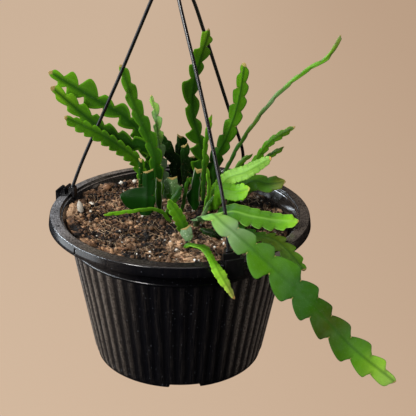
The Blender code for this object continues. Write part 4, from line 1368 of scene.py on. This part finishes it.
    def hole_shells(self) -> Shell:
        """Make plugs for the holes of the rim, the drainage holes and the slots of the band.

        Returns:
            All plugs in one shell.
        """
        rim = ((1.3, -8), (1.3, 4))
        drain = ((4.0, -self.height - 1), (4.0, self.floor_top + 4))
        slot = ((125.0, -8.4), (125.0, -1.9), (131.5, -1.9), (131.5, -8.4))
        return Shell.joined([
            *(turned(rim, 16, polar(self.rim_hole_at, math.radians(angle))) for angle in self.rim_holes),
            *(turned(drain, 24, polar(self.drain_at, math.radians(angle))) for angle in self.drains),
            *(sector(slot, angle, self.slot_half, 1) for angle in self.band_slots)])

    def build(self) -> None:
        """Loft the pot, cut its small holes, dress it and let it stand for its solid."""
        material = self.skin.material("pot_black", self.finish)
        pot = self.shell().to_object("pot_moulding", material)
        plugs = self.hole_shells().to_object("pot_hole_plugs", material)
        cut = pot.modifiers.new("holes", "BOOLEAN")
        cut.operation, cut.solver, cut.object = "DIFFERENCE", "EXACT", plugs
        graph = bpy.context.evaluated_depsgraph_get()
        mesh = bpy.data.meshes.new_from_object(pot.evaluated_get(graph))
        pot.modifiers.clear()
        pot.data = mesh
        bpy.data.objects.remove(plugs, do_unlink=True)
        spots = np.zeros(3 * len(mesh.vertices))
        mesh.vertices.foreach_get("co", spots)
        write_mark(mesh, "rib", self.ribs(spots.reshape(-1, 3) / MM - (POT_SHIFT, 0.0, -RIM_DROP)))
        mesh.set_sharp_from_angle(angle=math.radians(self.sharp))
        mount(pot, "pot_plastic", "pot")


# Soil


GRAIN = np.array([
    (0, 0, 1), (0.894, 0, 0.447), (0.276, 0.851, 0.447), (-0.724, 0.526, 0.447), (-0.724, -0.526, 0.447),
    (0.276, -0.851, 0.447), (0.724, 0.526, -0.447), (-0.276, 0.851, -0.447), (-0.894, 0, -0.447),
    (-0.276, -0.851, -0.447), (0.724, -0.526, -0.447), (0, 0, -1)])
GRAIN_FACES = np.array([
    (0, 1, 2), (0, 2, 3), (0, 3, 4), (0, 4, 5), (0, 5, 1), (1, 6, 2), (2, 7, 3), (3, 8, 4), (4, 9, 5),
    (5, 10, 1), (2, 6, 7), (3, 7, 8), (4, 8, 9), (5, 9, 10), (1, 10, 6), (6, 11, 7), (7, 11, 8), (8, 11, 9),
    (9, 11, 10), (10, 11, 6)])


@dataclass
class Soil:
    """The bed of coir and bark with its loose crumbs, chips, fibres and white grains."""

    skin: EarthSkin
    top_r: float = 107.5
    rings: int = 120
    spokes: int = 380
    seed: int = 41
    bank: float = 3.6                  # rise towards the wall on the left
    left_reach: float = 4.4            # how much further the top reaches there
    edge_drop: float = 0.8             # how far its edge falls at the wall, and over what width
    edge_width: float = 3.0
    cone: tuple[Point, ...] = ((84.0, -144.4), (107.0, -20.0))     # below the top
    crumb_count: int = 5200
    crumb_reach: float = 105.0         # radius of the disc that they lie in
    chip_count: int = 520
    chip_reach: float = 101.0
    white_count: int = 95
    white_reach: float = 100.0
    fibre_count: int = 800
    fibre_reach: float = 98.0          # their starts, and the whole fibre
    fibre_limit: float = 103.0
    # Single chips and white grains: place, then half lengths
    chips: tuple[Point, ...] = ((-78.0, 66.0, 7.0, 6.0, 3.0), (-20.0, -70.0, 5.0, 2.2, 0.8))
    whites: tuple[Point, ...] = (
        (-65.0, 80.0, 3.6, 3.0, 3.0), (-51.0, 84.0, 3.0, 2.6, 2.6), (-62.0, 47.0, 3.4, 2.4, 1.8),
        (-99.5, 4.0, 3.4, 4.2, 7.5), (-91.0, 29.0, 4.6, 2.4, 1.2))
    earth: EarthFinish = EarthFinish((17, 12, 9), (90, 66, 46), (170, 138, 108))
    bark: EarthFinish = EarthFinish(
        (42, 28, 18), (118, 84, 58), (186, 148, 114), relief=0.5, roughness=0.75)
    fibre: EarthFinish = EarthFinish(
        (76, 56, 38), (142, 114, 84), (206, 184, 154), relief=0.2, roughness=0.8)
    white: EarthFinish = EarthFinish(
        (150, 146, 138), (200, 198, 190), (228, 227, 220), relief=0.6, roughness=0.85)

    def height(self, x: Array, y: Array) -> Array:
        """Bumpy top of the soil: long waves as in the solid, plus its clods and crumbs.

        Args:
            x: first coordinate.
            y: second coordinate.

        Returns:
            Heights.
        """
        waves = (np.sin(0.21 * x + 1.3) * np.cos(0.17 * y) + 0.6 * np.sin(0.43 * y - 0.31 * x)
                 + 0.5 * np.cos(0.39 * x + 0.27 * y + 2.0)) / 2.1
        roots = np.array([stem.root for stem in STEMS])
        nearest = np.min((x[..., None] - roots[:, 0]) ** 2 + (y[..., None] - roots[:, 1]) ** 2, axis=-1)
        free = 1.0 - np.exp(-nearest / 64.0)
        far = np.hypot(x, y)
        bank = self.bank * ease((far - 88) / 20) * ease(-x / np.maximum(far, 1) / 0.7)
        return SOIL_Z - SOIL_LEAN * x + SOIL_BUMP * free * waves + bank + self.crumbs(x, y)

    def crumbs(self, x: Array, y: Array) -> Array:
        """Clods and crumbs: lattice noise of 14, 5, 2.4 and 1.2 mm, the middle two folded into ridges.

        Args:
            x: first coordinate.
            y: second coordinate.

        Returns:
            Heights about the smooth bed.
        """
        big, clod, crumb, fine = (
            lattice_noise(x, y, cell, self.seed + n) for n, cell in enumerate((14.0, 5.0, 2.4, 1.2)))
        return 1.6 * big + 2.2 * (0.45 - np.abs(clod)) + 1.2 * (0.45 - np.abs(crumb)) + 0.4 * fine

    def patches(self, x: Array, y: Array) -> Array:
        """Paler and darker patches of 22 and 9 mm, paler at the back left.

        Args:
            x: first coordinate.
            y: second coordinate.

        Returns:
            What is added to the tint.
        """
        pale = 0.18 * ease((y - x - 70.0) / 60.0)
        large, small = (lattice_noise(x, y, cell, self.seed + n) for cell, n in ((22.0, 7), (9.0, 8)))
        return pale + 0.4 * large + 0.3 * small

    def bed(self) -> Shell:
        """Skin the bed: its cone below, then rings of the top from the wall to the middle.

        Returns:
            The closed skin with the mark tint.
        """
        a = all_round(self.spokes)
        reach = self.top_r + self.left_reach * ease(-np.cos(a) / 0.7)
        r = reach * np.linspace(1, 0.004, self.rings)[:, None]
        x, y = polar(r, a)
        z = self.height(x, y) - self.edge_drop * ease((r - reach) / self.edge_width + 1)
        low = np.array(self.cone)
        wall = np.stack([*polar(low[:, :1], a), np.repeat(low[:, 1:], len(a), 1)], axis=-1)
        rings = np.concatenate([wall, np.stack([x, y, z], axis=-1)])
        shell = Shell.from_rings(rings, (0, 0, low[0, 1]), (0, 0, float(z[-1].mean())))
        x, y, _ = shell.points.T
        # The tint is darker where the bed lies lower between clods and crumbs, a painted shade in the
        # hollows; paler and darker patches are added to it.
        shell.marks["tint"] = 0.2 + 0.3 * self.crumbs(x, y) + self.patches(x, y)
        return shell

    def spots(self, rng: np.random.Generator, count: int, reach: float) -> tuple[Array, Array]:
        """Scatter places evenly over the top.

        Args:
            rng: source of the numbers.
            count: how many.
            reach: radius of the disc.

        Returns:
            Their x and y.
        """
        r, a = reach * np.sqrt(rng.uniform(0, 1, count)), rng.uniform(0, math.tau, count)
        return polar(r, a)

    def grains(self, rng: np.random.Generator, spots: tuple[Array, Array], sizes: Array, sunk: float,
               tilt: float = math.pi, single: Sequence[Point] = ()) -> Shell:
        """Lay small many-sided grains on the soil.

        Each is a stretched, jittered icosahedron turned by a random angle about the
        upright and tilted by up to tilt.

        Args:
            rng: source of the numbers.
            spots: x and y of their places.
            sizes: half lengths of each grain, three numbers a row.
            sunk: share of its half height that lies below its middle's soil.
            tilt: largest tilt in radians.
            single: more grains, each its x, its y and its half lengths.

        Returns:
            The grains with the mark tint.
        """
        whole = np.concatenate([np.column_stack([*spots, sizes]), np.reshape(single, (-1, 5))])
        x, y, sizes = whole[:, 0], whole[:, 1], whole[:, 2:]
        count, corners = len(whole), len(GRAIN)
        local = GRAIN * rng.uniform(0.72, 1.15, (count, corners, 1)) * sizes[:, None]
        turn, lean = rng.uniform(0, math.tau, (2, count))
        lean = tilt * (lean / math.tau)
        c, s, cl, sl = np.cos(turn), np.sin(turn), np.cos(lean), np.sin(lean)
        zero, one = np.zeros(count), np.ones(count)
        spin = np.stack([c, -s, zero, s, c, zero, zero, zero, one], axis=-1).reshape(-1, 3, 3)
        tip = np.stack([one, zero, zero, zero, cl, -sl, zero, sl, cl], axis=-1).reshape(-1, 3, 3)
        local = np.einsum("nij,nkj->nki", spin @ tip, local)
        base = self.height(x, y) + sizes[:, 2] * (1 - 2 * sunk)
        points = local + np.stack([x, y, base], axis=-1)[:, None]
        faces = GRAIN_FACES[None] + corners * np.arange(count)[:, None, None]
        tint = np.repeat(rng.uniform(-0.1, 0.88, count) + self.patches(x, y), corners)
        no_quads = np.zeros((0, 4), int)
        return Shell(points.reshape(-1, 3), no_quads, faces.reshape(-1, 3), {"tint": tint})

    def threads(self, rng: np.random.Generator, count: int) -> Shell:
        """Lay thin curved fibres on the soil.

        A fibre is a three-sided tube along start + heading * u + bow * side * u * (1 - u)
        for u from 0 to 1, with an arch over the soil.

        Args:
            rng: source of the numbers.
            count: how many.

        Returns:
            The fibres with the mark tint.
        """
        rows, sides = 9, 3
        u = np.linspace(0, 1, rows)[None, :, None]
        start = np.stack(self.spots(rng, count, self.fibre_reach), axis=-1)
        a, length = rng.uniform(0, math.tau, count), rng.uniform(5, 24, count)
        bow = length * rng.uniform(-1.2, 1.2, count)
        heading = np.stack([np.cos(a), np.sin(a)], axis=-1)[:, None] * length[:, None, None]
        aside = np.stack([-np.sin(a), np.cos(a)], axis=-1)[:, None] * bow[:, None, None]
        flat = start[:, None] + heading * u + aside * u * (1 - u)
        far = np.linalg.norm(flat, axis=-1, keepdims=True)
        flat = flat * np.minimum(1, self.fibre_limit / far)
        arch = rng.uniform(0.2, 3.0, (count, 1)) * np.sin(np.pi * u[..., 0])
        z = self.height(flat[..., 0], flat[..., 1]) + 0.5 + arch
        path = np.concatenate([flat, z[..., None]], axis=-1)
        b = all_round(sides)[:, None]
        thick = rng.uniform(0.1, 0.26, (count, 1, 1, 1)) * (1 - 0.6 * u[..., None])
        side = unit(np.concatenate([aside, np.zeros((count, 1, 1))], axis=-1) + (1e-6, 0, 0))[:, :, None]
        rings = path[:, :, None] + thick * (np.cos(b) * side + np.sin(b) * np.array((0, 0, 1.0)))
        j = np.arange(sides)
        ends = np.array([j[::-1], sides * (rows - 1) + j])
        offset = sides * rows * np.arange(count)[:, None, None]
        quads, tris = ((part + offset).reshape(-1, part.shape[1]) for part in (ring_faces(rows, sides), ends))
        tint = np.repeat(rng.uniform(0.1, 1.0, count), sides * rows)
        return Shell(rings.reshape(-1, 3), quads, tris, {"tint": tint})

    def dress(self, shell: Shell, piece: str, material: str, finish: EarthFinish, *nodes: str) -> None:
        """Turn a shell into a piece of the soil.

        Args:
            shell: the shell.
            piece: name of the piece.
            material: name of its material.
            finish: its colours.
            nodes: the solids that it replaces.
        """
        mount(shell.to_object(piece, self.skin.material(material, finish)), "soil", *nodes)

    def build(self) -> None:
        """Make the bed and what lies on it."""
        rng = np.random.default_rng(self.seed)
        self.dress(self.bed(), "soil_bed", "soil_earth", self.earth, "soil")
        n = self.crumb_count
        spots = self.spots(rng, n, self.crumb_reach)
        sizes = rng.lognormal(0.12, 0.45, (n, 1)) * rng.uniform(0.6, 1.1, (n, 3))
        self.dress(self.grains(rng, spots, sizes, 0.4), "soil_crumbs", "crumbs", self.earth)
        n = self.chip_count
        spots = self.spots(rng, n, self.chip_reach)
        sizes = np.stack(
            [rng.uniform(low, high, n) for low, high in ((2.0, 5.2), (1.0, 2.4), (0.4, 0.9))], axis=-1)
        self.dress(self.grains(rng, spots, sizes, 0.1, 0.9, self.chips), "soil_bark", "bark", self.bark)
        n = self.white_count
        spots = self.spots(rng, n, self.white_reach)
        sizes = rng.uniform(0.7, 1.9, (n, 1)) * rng.uniform(0.7, 1.1, (n, 3))
        white = self.grains(rng, spots, sizes, 0.2, 0.6, self.whites)
        self.dress(white, "soil_white_grains", "white_grains", self.white)
        self.dress(self.threads(rng, self.fibre_count), "soil_fibres", "fibres", self.fibre)


# Hanger


@dataclass
class Hanger:
    """The hook with its hub, and the three strands with the clips that grip the rim."""

    skin: PlasticSkin
    pot: Pot
    strand_r: float = 1.7
    hub_r: float = 7.0
    hub_height: float = 14.0
    wire_r: float = 2.8
    loop_r: float = 13.0
    clip_half: float = 3.8
    leg_half: float = 1.7
    clip_rise: float = 9.0
    gap: float = 0.3
    rounding: float = 0.35
    sharp: float = 35.0                # edges over this many degrees stay sharp
    # Collars of the hub: distance along the strand and radius
    collar: tuple[Point, ...] = ((1.5, 3.2), (2.6, 3.1), (4.2, 2.9), (5.2, 2.7), (5.6, 2.1))
    # The bit of dust on upright faces also lightens the strands a little, as a painted part of their
    # highlight.
    finish: PlasticFinish = PlasticFinish(
        (8, 8, 11), top_dust=0.05, side_dust=0.04, flecks=0.0, roughness=0.28, relief=0.06)

    # Each strand's clip, as an angle in degrees, and points that the strand runs through
    routes = {
        "strand_left": (162.5, ((-28, 8, 207), (-61, 21, 127), (-97, 33, 44))),
        "strand_front": (-66.5, ((-2, -17, 212), (13, -41, 159), (27, -64, 107), (42, -94, 44))),
        "strand_back": (57.2, ((9, 21, 207), (21, 37, 169), (46, 70, 85), (62, 89, 34))),
    }

    def line(self, name: str) -> Array:
        """Middle line of a strand, from inside the hub's socket to inside its clip.

        Args:
            name: the strand.

        Returns:
            Points about 3 mm apart on a Catmull-Rom curve.
        """
        angle, waypoints = self.routes[name]
        foot = (*polar(self.pot.rim_inner_r - 1.0, math.radians(angle)), self.clip_rise - 3.0)
        hub = np.array((-POT_SHIFT, 0.0, RIM_DROP - HUB_DROP))
        outward = unit(np.array(waypoints[0], float) - hub)
        knots = np.vstack([hub + outward * (self.hub_r * 0.55), np.array(waypoints, float), foot])
        return curve(knots, 2 * knots[0] - knots[1], 20)

    def clip(self, angle: float) -> list[Shell]:
        """Make a clip: a saddle on the rim with two plates, and the leg that holds the strand.

        Args:
            angle: its place round the rim, in degrees.

        Returns:
            The saddle and the leg.
        """
        inner = self.pot.rim_inner_r - 2.6 - self.gap - 0.2
        outer = self.pot.band_r + self.gap
        top = 0.8 + self.gap
        deck, low = top + 1.6, -self.pot.band_height
        saddle = (
            (inner + 2.0, top), (inner + 2.0, deck), (inner + 6.4, deck), (inner + 6.8, 8.5),
            (inner + 8.6, 8.5), (inner + 9.0, deck), (outer - 0.3, deck), (outer, 5.5), (outer + 1.8, 5.5),
            (outer + 1.8, low - 1.9), (outer - 2.0, low - 1.9), (outer - 2.2, low - self.gap),
            (outer, low - self.gap), (outer, top))
        leg = (
            (inner - 2.0, -1.6), (inner - 2.0, self.clip_rise), (inner + 4.2, self.clip_rise),
            (inner + 4.2, top), (inner, top), (inner, -1.6))
        return [sector(saddle, angle, self.clip_half, 6), sector(leg, angle, self.leg_half, 4)]

    def marked(self, shells: Sequence[Shell]) -> Shell:
        """Join shells and give them the plain mark rib that the plastic reads.

        Args:
            shells: the shells.

        Returns:
            One shell.
        """
        whole = Shell.joined(shells)
        x, y, z = whole.points.T
        whole.marks["rib"] = np.stack([np.ones_like(x), x + y, z], axis=-1)
        return whole

    def build(self) -> None:
        """Make the strands and the hook, round the strands' edges and dress them all."""
        material = self.skin.material("hanger_black", self.finish)
        for name, (angle, _) in self.routes.items():
            path = self.line(name)
            tube = sweep(path, np.full(len(path), self.strand_r), 16)
            shell = self.marked([tube, *self.clip(angle)])
            piece = shell.to_object(name + "_moulding", material, self.sharp)
            bevel = piece.modifiers.new("rounding", "BEVEL")
            bevel.width, bevel.segments, bevel.limit_method = self.rounding * MM, 2, "ANGLE"
            bevel.angle_limit = math.radians(40)
            mount(piece, "hanger_plastic", name)
        piece = self.hook().to_object("hanger_hook_moulding", material, self.sharp)
        mount(piece, "hanger_plastic", "hanger_hook")

    def hook(self) -> Shell:
        """Carry the wire round the loop and down to the hub, and turn the hub with its collars.

        Returns:
            The hook in one shell.
        """
        middle = self.wire_r - self.loop_r
        x, z = polar(self.loop_r, np.radians(np.linspace(200, -90, 72)))
        loop = np.stack([x, np.zeros_like(x), middle + z], axis=-1)
        shank = np.linspace(loop[-1], (0.0, 0.0, -HUB_DROP + self.hub_height / 2 - 2.0), 8)[1:]
        path = np.concatenate([loop, shank]) - (POT_SHIFT, 0.0, -RIM_DROP)
        radii = np.full(len(path), self.wire_r)
        radii[:5] *= np.sqrt(1 - (1 - np.linspace(0.08, 1, 5)) ** 2)
        low, high = (RIM_DROP - HUB_DROP + way * self.hub_height / 2 for way in (-1, 1))
        r, wire = self.hub_r, self.wire_r
        hub = turned((
            (r - 2.6, low), (r - 1.0, low + 0.2), (r - 0.2, low + 0.9), (r, low + 1.8), (r, low + 5),
            (r - 0.35, low + 5.4), (r - 0.35, low + 8.6), (r, low + 9), (r, high - 1.8),
            (r - 0.2, high - 0.9), (r - 1.0, high - 0.2), (r - 2.6, high), (wire + 0.8, high + 0.1),
            (wire + 0.2, high + 0.9)),
            48, (-POT_SHIFT, 0.0))
        collars = []
        along, collar_r = np.array(self.collar).T
        for name in self.routes:
            start, after = self.line(name)[:2]
            collars.append(sweep(start + unit(after - start) * along[:, None], collar_r, 20))
        return self.marked([sweep(path, radii, 20), hub, *collars])


# Studio


@dataclass(frozen=True)
class Panel:
    """A soft light that looks at the plant."""

    name: str
    spot: Point                # in metres
    size: Point                # width and height in metres
    power: float               # in watts
    colour: Point              # linear
    lit: bool = True           # False for a light that shows only as a gleam


@dataclass
class Studio:
    """Floor, soft lights and the camera at the photograph's angle."""

    lens: float = 91.968
    distance: float = 1050.0
    elevation: float = 0.4076
    roll: float = 0.0187
    target: Point = (27.3603, 0.0, 2.9832)
    floor_z: float = -1.6
    floor_half: float = 40.0
    floor_tones: tuple[Point, ...] = ((203, 177, 152), (205, 179, 154))
    floor_shade_right: Point = (186, 158, 133)
    surround: Point = (0.55, 0.55, 0.56, 1.0)
    surround_power: float = 0.65
    aim: Point = (0.02, 0.0, -0.3)     # where the lights look, in metres
    panels: tuple[Panel, ...] = (
        Panel("window_left", (-1.9, 0.15, -0.1), (2.0, 2.2), 34.0, (0.86, 0.94, 1.0)),
        Panel("key", (-1.2, -1.5, 0.9), (0.5, 0.5), 56.0, (1.0, 0.98, 0.94)),
        Panel("strip_left", (-1.7, 0.1, 0.7), (2.6, 0.3), 20.0, (0.8, 0.9, 1.0)),
        Panel("gleam_left", (-1.7, 0.25, 0.6), (2.4, 0.12), 50.0, (0.8, 0.9, 1.0), lit=False),
        Panel("soft_top", (0.1, 0.1, 1.6), (1.8, 1.6), 12.0, (1.0, 0.98, 0.96)),
        Panel("right_warm", (1.9, 0.1, -0.1), (0.8, 1.6), 6.0, (1.0, 0.84, 0.7)))

    def camera(self) -> None:
        """Place the camera by its distance, elevation and roll about its target."""
        ce, se = math.cos(self.elevation), math.sin(self.elevation)
        cr, sr = math.cos(self.roll), math.sin(self.roll)
        ahead, up, right = Vector((0, ce, -se)), Vector((0, se, ce)), Vector((1, 0, 0))
        across, upward = cr * right + sr * up, -sr * right + cr * up
        spot = Vector(place(np.array(self.target))) - ahead * self.distance * MM
        turn = Matrix((across, upward, -ahead)).transposed().to_4x4()
        data = bpy.data.cameras.new("camera")
        data.lens, data.sensor_width, data.clip_end = self.lens, 36.0, 100.0
        camera = bpy.data.objects.new("camera", data)
        camera.matrix_world = Matrix.Translation(spot) @ turn
        bpy.context.scene.collection.objects.link(camera)
        bpy.context.scene.camera = camera

    def hang(self, panel: Panel) -> None:
        """Hang a light so that it looks at the plant.

        Args:
            panel: the light.
        """
        data = bpy.data.lights.new(panel.name, "AREA")
        data.shape, data.size, data.size_y = "RECTANGLE", *panel.size
        data.energy, data.color = panel.power, panel.colour
        light = bpy.data.objects.new(panel.name, data)
        light.location = panel.spot
        light.visible_diffuse = panel.lit
        light.rotation_euler = (Vector(self.aim) - Vector(panel.spot)).to_track_quat("-Z", "Y").to_euler()
        bpy.context.scene.collection.objects.link(light)

    def floor(self) -> None:
        """Lay a wide pale floor far below the pot that glows with its own colour and is painted darker
        towards the right as painted shade, and set a dim warm surround.
        """
        material, w, shader = new_material("floor_paint")
        spot = w.spot()
        colour = w.mix(spot.noise(0.7, 2), *(linear(tone) for tone in self.floor_tones))
        # Painted shade: the floor darkens towards the right.
        colour = colour.mixed(spot.parts()[0].span(-0.8, 1.6), linear(self.floor_shade_right))
        w.feed(shader, {
            "Base Color": colour.mixed(0.85, (0.0, 0.0, 0.0, 1.0)), "Emission Color": colour,
            "Emission Strength": 0.95, "Roughness": 0.95, "Specular IOR Level": 0.0})
        mesh = bpy.data.meshes.new("floor")
        corners = [(x * self.floor_half, y * self.floor_half, self.floor_z)
                   for x, y in ((-1, -1), (1, -1), (1, 1), (-1, 1))]
        mesh.from_pydata(corners, [], [(0, 1, 2, 3)])
        mesh.materials.append(material)
        floor = bpy.data.objects.new("floor", mesh)
        floor.visible_glossy = False
        floor.visible_diffuse = False
        bpy.context.scene.collection.objects.link(floor)
        world = bpy.data.worlds.new("surround")
        bpy.context.scene.world = world
        world.use_nodes = True
        back = world.node_tree.nodes["Background"].inputs
        back["Color"].default_value = self.surround
        back["Strength"].default_value = self.surround_power
        world.cycles_visibility.glossy = False

    def build(self) -> None:
        """Set up floor, lights and camera."""
        bpy.context.scene.view_settings.view_transform = "Standard"
        self.floor()
        self.camera()
        for panel in self.panels:
            self.hang(panel)


def main() -> None:
    """Load the frame and build every sub-assembly in order."""
    logging.basicConfig(level=logging.INFO, format="%(name)s: %(message)s")
    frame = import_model()
    LOG.info("the frame has %d solids", len(frame["nodes"]))
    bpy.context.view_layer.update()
    Studio().build()
    plastic, earth, leaf = PlasticSkin(), EarthSkin(), LeafSkin()
    pot = Pot(plastic)
    pot.build()
    Soil(earth).build()
    Plant(leaf).build()
    Hanger(plastic, pot).build()


if __name__ == "__main__":
    main()
